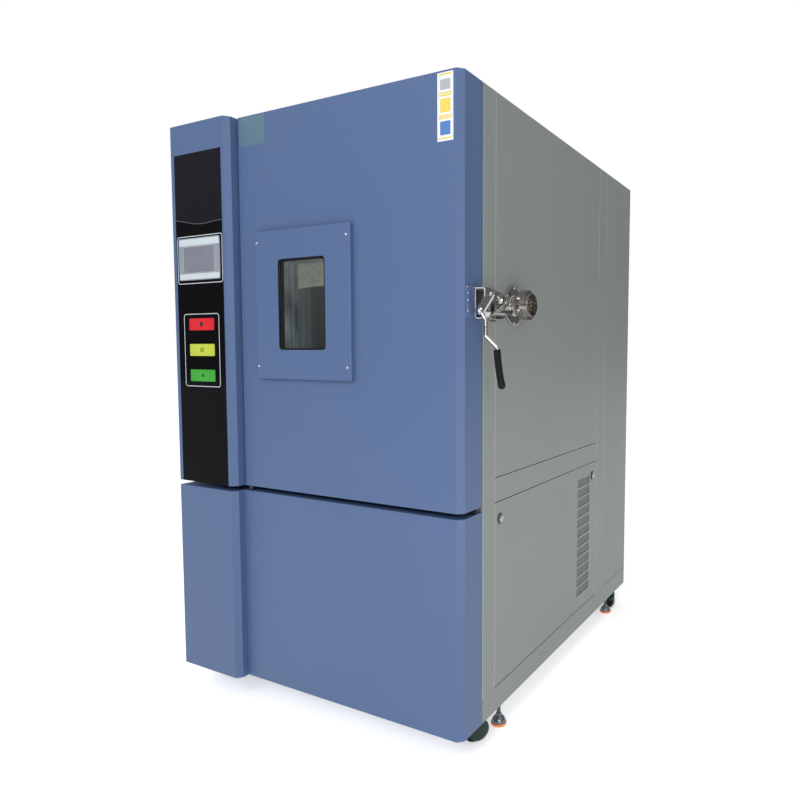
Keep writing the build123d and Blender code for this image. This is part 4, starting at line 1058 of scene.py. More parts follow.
@dataclass
class ControlColumn:
    """Black glass panel with its touch screen, lamps and printed outlines."""

    print_rise: float = 0.3 * MM
    outline: float = 2.2 * MM
    wave_up: float = 1460.0
    lamp_frame: tuple[float, float, float, float] = (42.5, 207.5, 935.0, 1167.0)
    screen_frame: tuple[float, float, float, float] = (20.0, 230.5, 1262.0, 1412.0)

    def __post_init__(self) -> None:
        """Take the column's left edge, the floor of the body and the glass's face from the frame."""
        self.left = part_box("control_column")[0][0]
        self.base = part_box("front_fascia")[0][2]
        self.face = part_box("display_glass")[0][1]

    def at(self, across: float, up: float, out: float = 0.0) -> Vector:
        """Place a point on the glass.

        Args:
            across: Millimetres from the column's left edge.
            up: Millimetres above the body's bottom.
            out: Metres in front of the glass.

        Returns:
            The point in metres.
        """
        return Vector((self.left + across * MM, self.face - out, self.base + up * MM))

    def dress(self) -> None:
        """Give the CAD nodes of the column their finishes."""
        low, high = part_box("display_glass")
        line = self.at(0, self.wave_up)[2]
        glass = PanelGlass(
            "panel_glass", roughness=0.06, specular=0.03, left=low[0], right=high[0], line=line
        )
        dress_node("display_glass", glass)
        dress_node("screen_bezel", BEZEL)
        dress_node("touch_screen", SCREEN)
        for node, colour, edge in (
            ("red_lamp", (0.54, 0.014, 0.024), (0.44, 0.010, 0.018)),
            ("yellow_lamp", (0.39, 0.45, 0.050), (0.34, 0.39, 0.038)),
            ("green_lamp", (0.028, 0.27, 0.024), (0.022, 0.22, 0.018)),
        ):
            low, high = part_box(node)
            middle = tuple((low[index] + high[index]) / 2 for index in range(3))
            lens = Lens(f"{node}_lens", roughness=0.25, bump=0.1, colour=colour, edge=edge, middle=middle)
            dress_node(node, lens)

    def outline_piece(self, name: str, span: tuple[float, float, float, float], corner: float) -> None:
        """Print a thin round-cornered outline on the glass.

        Args:
            name: Name of the piece.
            span: Left, right, low and high, in millimetres.
            corner: Corner radius in metres.
        """
        left, right, low, high = span
        piece = Workshop.hoop(
            name, self.at(left, low, self.print_rise), self.at(right, high), corner, self.outline, Axis.Y
        )
        fit(piece, PRINT, "cabinet")

    def wave_line(self) -> None:
        """Lay the thin grey line that waves across the glass."""
        low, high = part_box("display_glass")
        steps = 24
        width = 1.2 * MM
        Workshop.clear()
        start = Vector((low[0], self.face - self.print_rise / 2, self.at(0, self.wave_up)[2]))
        bpy.ops.mesh.primitive_cube_add(size=1, location=start + Vector(((high[0] - low[0]) / 2, 0, 0)))
        bpy.context.object.scale = (high[0] - low[0], self.print_rise, width)
        line = Workshop.settle("glass_wave_line")
        Workshop.pick_edges(line, Axis.X)
        bpy.ops.mesh.subdivide(number_cuts=steps)
        Workshop.clear()
        for vertex in line.data.vertices:
            across = (vertex.co.x - low[0]) / (high[0] - low[0])
            vertex.co.z += WAVE_RISE * math.cos(WAVE_TURN * across + WAVE_START) - WAVE_FALL * across
        fit(line, GREY_LINE, "cabinet")

    def screen_bands(self) -> None:
        """Add the lighter bands above and below the screen, and the screen's dark edge."""
        low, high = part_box("screen_bezel")
        inner_low, inner_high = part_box("touch_screen")
        lift = 0.15 * MM
        bands = []
        for name, band_low, band_high in (
            ("low", low[2] + 3 * MM, inner_low[2] - 4 * MM),
            ("high", inner_high[2] + 4 * MM, high[2] - 3 * MM),
        ):
            bands.append(
                Workshop.plate(
                    f"bezel_band_{name}",
                    Vector((low[0] + 3 * MM, low[1] - lift, band_low)),
                    Vector((high[0] - 3 * MM, low[1] + lift, band_high)),
                    2 * MM,
                    Axis.Y,
                )
            )
        fit(Workshop.join("bezel_bands", bands), BEZEL_BAND, "cabinet")
        edge = Workshop.hoop(
            "screen_edge",
            Vector((inner_low[0] - 1.5 * MM, low[1] - lift, inner_low[2] - 1.5 * MM)),
            Vector((inner_high[0] + 1.5 * MM, low[1] + lift, inner_high[2] + 1.5 * MM)),
            2 * MM,
            1.5 * MM,
            Axis.Y,
        )
        fit(edge, GREY_PATCH, "cabinet")

    def lamp_marks(self) -> None:
        """Print a plain square, a pair of bars and a triangle on the lamps."""
        marks = {}
        for node in ("red_lamp", "yellow_lamp", "green_lamp"):
            low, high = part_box(node)
            marks[node] = Vector(((low[0] + high[0]) / 2, low[1], (low[2] + high[2]) / 2))
        half = mm(7, 0.15, 7)
        square = Workshop.plate(
            "red_mark", marks["red_lamp"] - half, marks["red_lamp"] + half, 1 * MM, Axis.Y
        )
        bar = Workshop.plate("yellow_bar", mm(-2.2, -0.15, -7), mm(2.2, 0.15, 7), 0.8 * MM, Axis.Y)
        places = [marks["yellow_lamp"] + mm(shift, 0, 0) for shift in (-4.5, 4.5)]
        bars = Workshop.copies("yellow_bars", bar, places)
        profile = [(-0.15, 8.0), (0.15, 8.0)]
        triangle = Workshop.turned("green_mark", marks["green_lamp"], TO_FRONT, profile, 3)
        fit(Workshop.join("lamp_marks", [square, bars, triangle]), SHADE_AND_MARK_BLACK, "cabinet")

    def build(self) -> None:
        """Build the column's details."""
        self.dress()
        self.outline_piece("lamp_outline", self.lamp_frame, 9 * MM)
        self.outline_piece("screen_outline", self.screen_frame, 9 * MM)
        self.wave_line()
        self.screen_bands()
        self.lamp_marks()


@dataclass
class Door:
    """The insulated door with its window, gasket and bare labels."""

    label_rise: float = 0.3 * MM
    frame_depth: float = 15 * MM
    # Depth of the plate with the painted view, and the share of the window's height where its painted shade
    # ends.
    view_plate_depth: float = 86.1 * MM
    shade_line_level: float = 0.717

    def __post_init__(self) -> None:
        """Take the door's box and the body's bottom from the frame."""
        self.low, self.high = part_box("door_shell")
        self.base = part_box("front_fascia")[0][2]
        self.middle = (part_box("front_fascia")[0][0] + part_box("front_fascia")[1][0]) / 2

    def at(self, across: float, up: float, out: float = 0.0) -> Vector:
        """Place a point on the door's face.

        Args:
            across: Millimetres from the body's middle.
            up: Millimetres above the body's bottom.
            out: Metres in front of the face.

        Returns:
            The point in metres.
        """
        return Vector((self.middle + across * MM, self.low[1] - out, self.base + up * MM))

    def dress(self) -> None:
        """Give the CAD nodes of the door their finishes."""
        for node in ("door_shell", "window_frame"):
            dress_node(node, FRONT)
        dress_node("door_inner_panel", STAINLESS)
        dress_node("door_insulation", FOAM)
        dress_node("door_gasket", RUBBER)
        dress_node("window_panes", PANES)
        dress_node("window_screws", BRIGHT)

    def labels(self) -> None:
        """Stick on the bare teal label and the bare white strip with its plain patches."""
        label = Workshop.plate(
            "teal_label", self.at(-264, 1671, self.label_rise), self.at(-154, 1756), 1.5 * MM, Axis.Y
        )
        fit(label, LABEL, "door")
        strip = Workshop.plate(
            "white_strip", self.at(461.5, 1585, self.label_rise), self.at(509.5, 1755), 1.5 * MM, Axis.Y
        )
        fit(strip, STRIP, "door")
        for name, low, high, finish in (
            ("upper_patch", 1712.0, 1738.0, GREY_PATCH),
            ("middle_patch", 1656.0, 1690.0, YELLOW_PATCH),
            ("lower_patch", 1600.0, 1634.0, BLUE_PATCH),
        ):
            near = self.at(470, low, 2 * self.label_rise)
            patch = Workshop.plate(name, near, self.at(501, high, self.label_rise), 2 * MM, Axis.Y)
            fit(patch, finish, "door")

    def strip_bars(self) -> None:
        """Print thin plain bars above and below each patch of the white strip."""
        bar = Workshop.plate("strip_bar", Vector((0, -self.label_rise, 0)), mm(40, 0, 4), 1 * MM, Axis.Y)
        ups = (1748.0, 1702.0, 1696.0, 1646.0, 1640.0, 1590.0)
        bars = Workshop.copies("strip_bars", bar, [self.at(465.5, up, self.label_rise) for up in ups])
        fit(bars, YELLOW_PATCH, "door")

    def pane_spacers(self) -> None:
        """Line the window between the panes with spacer frames, the front one near-black as painted shade and
        the others glowing as painted light.
        """
        low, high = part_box("window_panes")
        frame_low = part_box("window_frame")[0]
        face = frame_low[1] + self.frame_depth
        # The front span is near-black painted shade at the window's edge.
        spans = ((-3.6, 7.0, SHADE_AND_MARK_BLACK), (7.3, 24.6, SPACER), (31.4, 64.6, SPACER), (71.6, 122.6, SPACER))
        for index, (front, back, finish) in enumerate(spans, start=1):
            spacer = Workshop.hoop(
                f"pane_spacer_{index}",
                Vector((low[0], face + front * MM, low[2])),
                Vector((high[0], face + back * MM, high[2])),
                11.5 * MM,
                5 * MM,
                Axis.Y,
            )
            fit(spacer, finish, "door")

    def pane_painted_view(self) -> None:
        """Lay the plate with the painted view on the inner pane: painted light above its curve, painted shade
        below it.
        """
        low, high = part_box("window_panes")
        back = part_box("window_frame")[0][1] + self.view_plate_depth
        view_plate = Workshop.plate(
            "inner_pane_painted_view",
            Vector((low[0] + 1 * MM, back, low[2] + 1 * MM)),
            Vector((high[0] - 1 * MM, back + 0.3 * MM, high[2] - 1 * MM)),
            11 * MM,
            Axis.Y,
        )
        level = low[2] + self.shade_line_level * (high[2] - low[2])
        finish = PaintedPaneView("inner_pane_painted_view", roughness=0.5, specular=0.2, left=low[0], right=high[0], level=level)
        fit(view_plate, finish, "door")

    def frame_screws(self) -> None:
        """Put small round screws at the corners of the window frame."""
        low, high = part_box("window_screws")
        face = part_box("window_frame")[0][1]
        inset = 6.5 * MM
        places = [
            Vector((x, face, z))
            for z in (low[2] + inset, high[2] - inset)
            for x in (low[0] + inset, high[0] - inset)
        ]
        head = Workshop.screw("frame_screw", ORIGIN, TO_FRONT, 3.6, 2.3)
        screws = Workshop.copies("frame_screws", head, places)
        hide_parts("window_screws")
        fit(screws, ZINC, "door")

    def window_lip(self) -> None:
        """Edge the window opening with a thin black seal."""
        low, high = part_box("window_panes")
        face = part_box("window_frame")[0][1]
        seal = Workshop.hoop(
            "window_seal",
            Vector((low[0] + 0.3 * MM, face + 0.8 * MM, low[2] + 0.3 * MM)),
            Vector((high[0] - 0.3 * MM, face + 4.6 * MM, high[2] - 0.3 * MM)),
            11.2 * MM,
            3.4 * MM,
            Axis.Y,
        )
        fit(seal, RUBBER, "door")

    def build(self) -> None:
        """Build the door's details."""
        self.dress()
        self.labels()
        self.strip_bars()
        self.pane_spacers()
        self.pane_painted_view()
        self.frame_screws()
        self.window_lip()


@dataclass
class Latch:
    """Side latch: housing, lever, grip and keeper, with their bolts and screws."""

    grip_ribs: int = 22
    grip_radius: float = 10.0
    grip_bow: float = 2.2
    side_screws: tuple[Span, ...] = ((-51.0, 44.0), (-51.0, 27.0), (-51.0, -1.0))
    keeper_screws: tuple[Span, ...] = ((75.0, -14.0), (95.0, -14.0), (75.0, 56.0), (95.0, 56.0))

    def __post_init__(self) -> None:
        """Take the latch's pivot from its joint and the side's plane from the door."""
        joint = joint_named("latch_turn")
        self.pivot = Vector(joint["pos_m"])
        self.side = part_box("door_shell")[1][0]

    def at(self, out: float, back: float, up: float) -> Vector:
        """Place a point by its millimetres from the pivot.

        Args:
            out: Away from the cabinet.
            back: Towards the rear.
            up: Upwards.

        Returns:
            The point in metres.
        """
        return self.pivot + mm(out, back, up)

    def on_plane(self, face: float, places: tuple[Span, ...]) -> list[Vector]:
        """Place points on an upright side plane.

        Args:
            face: Distance of the plane from the origin, in metres.
            places: How far each point is behind and above the pivot, in millimetres.

        Returns:
            The points in metres.
        """
        return [Vector((face, self.pivot[1] + back * MM, self.pivot[2] + up * MM)) for back, up in places]

    def dress(self) -> None:
        """Give the latch its finishes."""
        for node in ("latch_housing", "latch_lever", "latch_keeper"):
            dress_node(node, POLISHED)

    def side_plate(self) -> None:
        """Cover the front part of the housing's plate with painted sheet and its three screws."""
        low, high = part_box("latch_housing")
        plate = Workshop.plate(
            "latch_side_plate",
            Vector((self.side, low[1] - 0.6 * MM, low[2] + 2 * MM)),
            Vector((self.side + 4.8 * MM, self.pivot[1] - 17 * MM, high[2] - 1 * MM)),
            2 * MM,
            Axis.X,
            0.4 * MM,
        )
        fit(plate, FRONT, "door")
        bar = Workshop.block(
            "latch_top_bar",
            Vector((self.side, low[1] - 1.2 * MM, high[2] - 2 * MM)),
            Vector((self.side + 6 * MM, self.pivot[1] - 14 * MM, high[2])),
            0.5 * MM,
        )
        fit(bar, POLISHED, "door")
        screw = Workshop.screw("latch_plate_screw", ORIGIN, TO_SIDE, 3.0, 2.2)
        places = self.on_plane(self.side + 4.8 * MM, self.side_screws)
        fit(Workshop.copies("latch_plate_screws", screw, places), POLISHED, "door")

    def housing_rim(self) -> None:
        """Frame the housing's open front with a bright rounded rim."""
        low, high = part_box("latch_housing")
        front = self.pivot[1] - 15 * MM
        rim = Workshop.hoop(
            "latch_housing_rim",
            Vector((self.side + 4.9 * MM, front - 1.2 * MM, low[2])),
            Vector((high[0], front, high[2])),
            8 * MM,
            3.4 * MM,
            Axis.Y,
        )
        fit(rim, ZINC, "door")

    def housing_inside(self) -> None:
        """Darken the housing's hollow with a black plate of painted shade at its back."""
        low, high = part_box("latch_housing")
        plate = Workshop.plate(
            "latch_hollow_shade",
            Vector((self.side + 8.5 * MM, self.pivot[1] + 8 * MM, low[2] + 5 * MM)),
            Vector((high[0] - 4.5 * MM, self.pivot[1] + 10.5 * MM, high[2] - 5 * MM)),
            3 * MM,
            Axis.Y,
            0.5 * MM,
        )
        fit(plate, BLACK_PAINT_AND_SHADE, "door")

    def lever_bolts(self) -> None:
        """Put heads on the pivot, cam and arm, a collar on the shaft and a ferrule on the rod."""
        dome = [
            (0.0, 8.6), (1.0, 8.6), (1.4, 7.4), (1.6, 6.6), (3.6, 6.2), (5.2, 4.8), (6.2, 2.6), (6.5, 0.4),
        ]
        pieces = [
            Workshop.turned("pivot_head", self.at(0, -26, 0), TO_FRONT, dome, 32),
            Workshop.turned("cam_head", self.at(36, 24, 27), TO_FRONT, [(z, r * 0.8) for z, r in dome], 24),
            Workshop.nut("cam_nut", self.at(36, 30, 27), TO_REAR, 7.5, 5.0),
            Workshop.turned(
                "shaft_collar",
                self.at(0, 30, 0),
                TO_REAR,
                [(0.0, 9.0), (0.8, 10.0), (7.2, 10.0), (8.0, 9.0), (8.0, 6.1), (0.0, 6.1), (0.0, 9.0)],
                28,
                True,
            ),
            Workshop.screw("arm_screw", self.at(33, -26, 42), TO_FRONT, 4.2, 2.6),
        ]
        fit(Workshop.join("latch_bolts", pieces), BRIGHT, "latch")
        rib = Workshop.turned(
            "rod_ferrule",
            self.rod_end(),
            (self.grip_end() - self.rod_end()).normalized(),
            [(4.5, 5.6), (5.2, 7.4), (9.2, 7.6), (10.0, 6.0), (10.0, 5.55), (4.5, 5.55), (4.5, 5.6)],
            24,
            True,
        )
        fit(rib, BRIGHT, "latch")

    def rod_end(self) -> Vector:
        """Give the point where the rod goes into the grip."""
        return self.at(50.6, -21.5, -95.3)

    def grip_end(self) -> Vector:
        """Give the centre of the grip's round end."""
        low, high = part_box("latch_grip")
        radius = self.grip_radius * MM
        return Vector((high[0] - radius, (low[1] + high[1]) / 2, low[2] + radius))

    def grip(self) -> None:
        """Turn the ribbed rubber grip, then bow it a little towards the cabinet."""
        top = self.rod_end()
        run = self.grip_end() - top
        along = run.normalized()
        length = run.length / MM
        start = 0.06 * length
        pitch = (length * 0.80) / self.grip_ribs
        profile = [(start, 6.4), (start, 8.4), (start + 1.2, 9.4)]
        for index in range(self.grip_ribs):
            low = start + 3.0 + index * pitch
            ribs = ((0.0, 9.5), (0.18, 8.9), (0.42, 8.9), (0.6, 9.5))
            profile += [(low + pitch * share, radius) for share, radius in ribs]
        profile += [(length - 9.0, 9.7), (length - 4.0, 9.9)]
        profile += [
            (
                length + self.grip_radius * math.sin(math.radians(turn)),
                self.grip_radius * math.cos(math.radians(turn)),
            )
            for turn in (0, 20, 40, 60, 75, 87)
        ]
        piece = Workshop.turned("ribbed_grip", top, along, profile, 28)
        for vertex in piece.data.vertices:
            share = (vertex.co - top).dot(along) / run.length
            vertex.co.x -= self.grip_bow * MM * 4 * max(0.0, share) * max(0.0, 1 - share)
        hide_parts("latch_grip")
        fit(piece, RUBBER, "latch")

    def keeper_details(self) -> None:
        """Put the screws on the keeper's plate."""
        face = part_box("latch_keeper")[0][0] + 4 * MM
        screw = Workshop.screw("keeper_screw", ORIGIN, TO_SIDE, 4.0, 3.0)
        places = self.on_plane(face, self.keeper_screws)
        fit(Workshop.copies("keeper_screws", screw, places), BRIGHT, "cabinet")

    def build(self) -> None:
        """Build the latch's details."""
        self.dress()
        self.side_plate()
        self.housing_rim()
        self.housing_inside()
        self.lever_bolts()
        self.grip()
        self.keeper_details()


@dataclass
class Port:
    """Vacuum port with its clamp, feedthrough and flange screws."""

    screws: int = 6
    pins: int = 10
    screw_circle: float = 50.0
    flange_radius: float = 58.0
    neck_radius: float = 28.0

    def __post_init__(self) -> None:
        """Take the port's axis and the planes of the side and the flange from the frame."""
        low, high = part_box("feedthrough")
        self.middle = (low + high) / 2
        self.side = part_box("service_panel")[1][0]
        self.flange_x = low[0]

    def at(self, out: float, radius: float = 0.0, turn: float = 0.0) -> Vector:
        """Place a point round the port's axis.

        Args:
            out: Distance from the origin along the axis, in metres.
            radius: Distance from the axis, in millimetres.
            turn: Angle round the axis from the rear, in degrees.

        Returns:
            The point in metres.
        """
        angle = math.radians(turn)
        return Vector((
            out,
            self.middle[1] + radius * MM * math.cos(angle),
            self.middle[2] + radius * MM * math.sin(angle),
        ))

    def dress(self) -> None:
        """Give the port its finishes."""
        for node in ("port_tube", "port_clamp"):
            dress_node(node, TURNED)
        dress_node("feedthrough", TURNED)

    def flange(self) -> None:
        """Add the base flange's screws and raised rim, and the bead that welds the tube to it."""
        face = self.side + 6 * MM
        turns = [30 + 360 * index / self.screws for index in range(self.screws)]
        places = [self.at(face, self.screw_circle, turn) for turn in turns]
        screw = Workshop.screw("flange_screw", ORIGIN, TO_SIDE, 3.8, 3.2)
        fit(Workshop.copies("flange_screws", screw, places), BRIGHT, "cabinet")
        neck = self.neck_radius
        bead = Workshop.turned(
            "tube_weld",
            self.at(face),
            TO_SIDE,
            [(0.0, neck), (0.0, neck + 3.2), (1.2, neck + 2.6), (2.4, neck + 1.2), (3.0, neck), (0.0, neck)],
            48,
            True,
        )
        fit(bead, TURNED, "cabinet")
        rim = Workshop.turned(
            "flange_rim",
            self.at(face),
            TO_SIDE,
            [
                (0.0, self.flange_radius - 4.0),
                (0.0, self.flange_radius),
                (0.8, self.flange_radius - 0.4),
                (1.2, self.flange_radius - 1.4),
                (1.2, self.flange_radius - 3.4),
                (0.0, self.flange_radius - 4.0),
            ],
            64,
            True,
        )
        fit(rim, TURNED, "cabinet")

    def clamp(self) -> None:
        """Add the clamp's nut, bolt head and two hinge barrels."""
        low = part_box("port_clamp")[0]
        lug_y = low[1] + 6.5 * MM
        middle = self.flange_x
        barrel = [(0.0, 4.2), (0.8, 5.0), (17.2, 5.0), (18.0, 4.2)]
        lug = Vector((middle, lug_y, self.middle[2]))
        pieces = [
            Workshop.nut("clamp_nut", lug + mm(0, 0, 13.5), UPWARD, 7.0, 5.5),
            Workshop.screw("clamp_head", lug - mm(0, 0, 13.5), -UPWARD, 6.0, 6.0),
        ]
        for turn in (20.0, -20.0):
            seat = self.at(middle - 9 * MM, 47.0, turn)
            pieces.append(Workshop.turned("clamp_hinge", seat, TO_SIDE, barrel, 20))
        fit(Workshop.join("clamp_hardware", pieces), BRIGHT, "cabinet")

    def plug(self) -> None:
        """Fill the feedthrough's bowl with its brown insulator and cap the pins."""
        bowl = 29.6
        floor = self.flange_x + 5 * MM
        disc = Workshop.turned(
            "feedthrough_insulator",
            self.at(floor),
            TO_SIDE,
            [(0.0, bowl), (2.0, bowl), (2.6, bowl - 1.0), (2.6, 12.0), (4.0, 11.0), (4.4, 9.0), (4.4, 0.3)],
            48,
        )
        fit(disc, CERAMIC, "cabinet")
        profile = [(0.0, 3.2), (1.6, 3.2), (2.4, 2.4), (2.4, 1.7), (0.0, 1.7), (0.0, 3.2)]
        collar = Workshop.turned("pin_collar", ORIGIN, TO_SIDE, profile, 12, True)
        places = [self.at(floor + 2.6 * MM, 20.0, 360 / self.pins * index) for index in range(self.pins)]
        fit(Workshop.copies("pin_collars", collar, places), TURNED, "cabinet")

    def build(self) -> None:
        """Build the port's details."""
        self.dress()
        self.flange()
        self.clamp()
        self.plug()


@dataclass
class RunningGear:
    """Castors, levelling feet and the two locks of the service panel."""

    places: tuple[str, ...] = ("front_right", "front_left", "rear_right", "rear_left")
    pad_height: float = 8.0
    stem_radius: float = 6.0
    thread_pitch: float = 1.75
    hood_shift: float = 0.42
    hood_lift: float = 4.0
    axle_reach: float = 16.5
    nut_rise: float = 3.0

    def dress(self) -> None:
        """Give the castors and locks their finishes."""
        for place in self.places:
            dress_node(f"{place}_fork", HOUSING)
            dress_node(f"{place}_wheel", RUBBER)
        for node in ("front_lock", "rear_lock"):
            dress_node(node, FOOT_STEEL)

    def foot(self, place: str) -> None:
        """Turn a foot's steel dome with its threaded stem, its elastic pad and its nut.

        Args:
            place: Corner that the foot stands at.
        """
        node = f"{place}_foot"
        low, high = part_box(node)
        middle = Vector(((low[0] + high[0]) / 2, (low[1] + high[1]) / 2, low[2]))
        top = (high[2] - low[2]) / MM
        dome = [(self.pad_height + z, r) for z, r in (
            (0.0, 22.9), (1.2, 23.0), (2.0, 22.0), (2.4, 21.4), (6.0, 21.0),
            (10.0, 19.6), (14.0, 17.2), (17.0, 14.6), (20.0, 11.0), (21.4, 9.4),
        )]
        neck = self.pad_height + 22.0
        profile = dome + [(neck, 9.0), (neck, 8.6), (neck + 5.0, 8.6), (neck + 5.0, self.stem_radius)]
        height = neck + 6.0
        while height + self.thread_pitch < top:
            profile.append((height, self.stem_radius))
            profile.append((height + self.thread_pitch / 2, self.stem_radius - 0.7))
            height += self.thread_pitch
        profile.append((top, self.stem_radius - 0.7))
        steel = Workshop.turned(f"{place}_foot_dome", middle, UPWARD, profile, 28)
        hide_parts(node)
        fit(steel, FOOT_STEEL, node)
        pad = Workshop.turned(
            f"{place}_foot_pad",
            middle,
            UPWARD,
            [(0.0, 22.0), (0.6, 23.2), (4.0, 23.5), (self.pad_height - 0.6, 23.4), (self.pad_height, 22.6)],
            36,
        )
        fit(pad, ORANGE, node)
        nut_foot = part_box("base_frame")[0][2]
        nut = Workshop.turned(
            f"{place}_foot_nut",
            Vector((middle[0], middle[1], nut_foot - 9 * MM)),
            UPWARD,
            [(0.0, 10.2), (0.8, 11.0), (8.2, 11.0), (9.0, 10.2), (9.0, 6.3), (0.0, 6.3), (0.0, 10.2)],
            6,
            True,
        )
        fit(nut, GALVANISED, node)

    def castor(self, place: str) -> None:
        """Add the bright swivel race, the axle nuts and the hoods of a castor.

        Args:
            place: Corner that the castor stands at.
        """
        low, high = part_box(f"{place}_wheel")
        centre = (low + high) / 2
        swivel = joint_named(f"{place}_swivel")
        roll = joint_named(f"{place}_roll")
        axle = Vector(roll["axis"]).normalized()
        pin = Vector(swivel["pos_m"])
        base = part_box("base_frame")[0][2]
        race = Workshop.turned(
            f"{place}_swivel_race",
            Vector((pin[0], pin[1], base)),
            -UPWARD,
            [
                (0.4, 24.5), (1.2, 26.0), (3.0, 26.5), (4.8, 26.0),
                (6.0, 24.6), (6.0, 24.1), (0.4, 24.1), (0.4, 24.5),
            ],
            40,
            True,
        )
        fit(race, BRIGHT, f"{place}_castor")
        reach = self.axle_reach * MM
        nuts = [
            Workshop.nut(f"{place}_axle_nut", centre + axle * sign * reach, axle * sign, 5.4, 4.4)
            for sign in (-1, 1)
        ]
        fit(Workshop.join(f"{place}_axle_nuts", nuts), HOUSING, f"{place}_castor")
        radius = (high[2] - low[2]) / 2 / MM
        towards = Vector((pin[0] - centre[0], pin[1] - centre[1], 0.0)) * self.hood_shift
        hoods = [
            Workshop.turned(
                f"{place}_hood",
                centre + towards + mm(0, 0, self.hood_lift) + axle * sign * (reach - self.nut_rise * MM),
                axle * sign,
                [
                    (0.0, radius),
                    (1.0, radius + 1.0),
                    (3.0, radius + 0.6),
                    (5.0, radius - 1.6),
                    (6.6, radius - 6.0),
                    (7.6, radius - 12.0),
                    (7.9, radius - 18.0),
                    (8.0, 1.0),
                ],
                36,
            )
            for sign in (-1, 1)
        ]
        fit(Workshop.join(f"{place}_hoods", hoods), HOUSING, f"{place}_castor")

    def lock_shade_rings(self) -> None:
        """Put a black ring of painted shade round each lock's head and a bright barrel on it."""
        for node in ("front_lock", "rear_lock"):
            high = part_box(node)[1]
            joint = joint_named(f"{node}_turn")
            pin = Vector(joint["pos_m"])
            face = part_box("service_panel")[1][0]
            # Ring of near-black painted shade round the head.
            ring = Workshop.turned(
                f"{node}_ring",
                Vector((face, pin[1], pin[2])),
                TO_SIDE,
                [(0.0, 14.3), (0.0, 16.6), (0.9, 16.3), (1.4, 15.4), (1.4, 14.3), (0.0, 14.3)],
                40,
                True,
            )
            fit(ring, SHADE_AND_MARK_BLACK, "service_panel")
            barrel = Workshop.turned(
                f"{node}_barrel",
                Vector((high[0], pin[1], pin[2])),
                TO_SIDE,
                [(0.0, 9.0), (1.2, 9.0), (1.8, 8.0), (1.8, 3.4), (0.6, 2.8), (0.6, 0.3)],
                28,
            )
            fit(barrel, BRIGHT, node)

    def build(self) -> None:
        """Build the running gear's details."""
        self.dress()
        for place in self.places:
            self.foot(place)
            self.castor(place)
        self.lock_shade_rings()


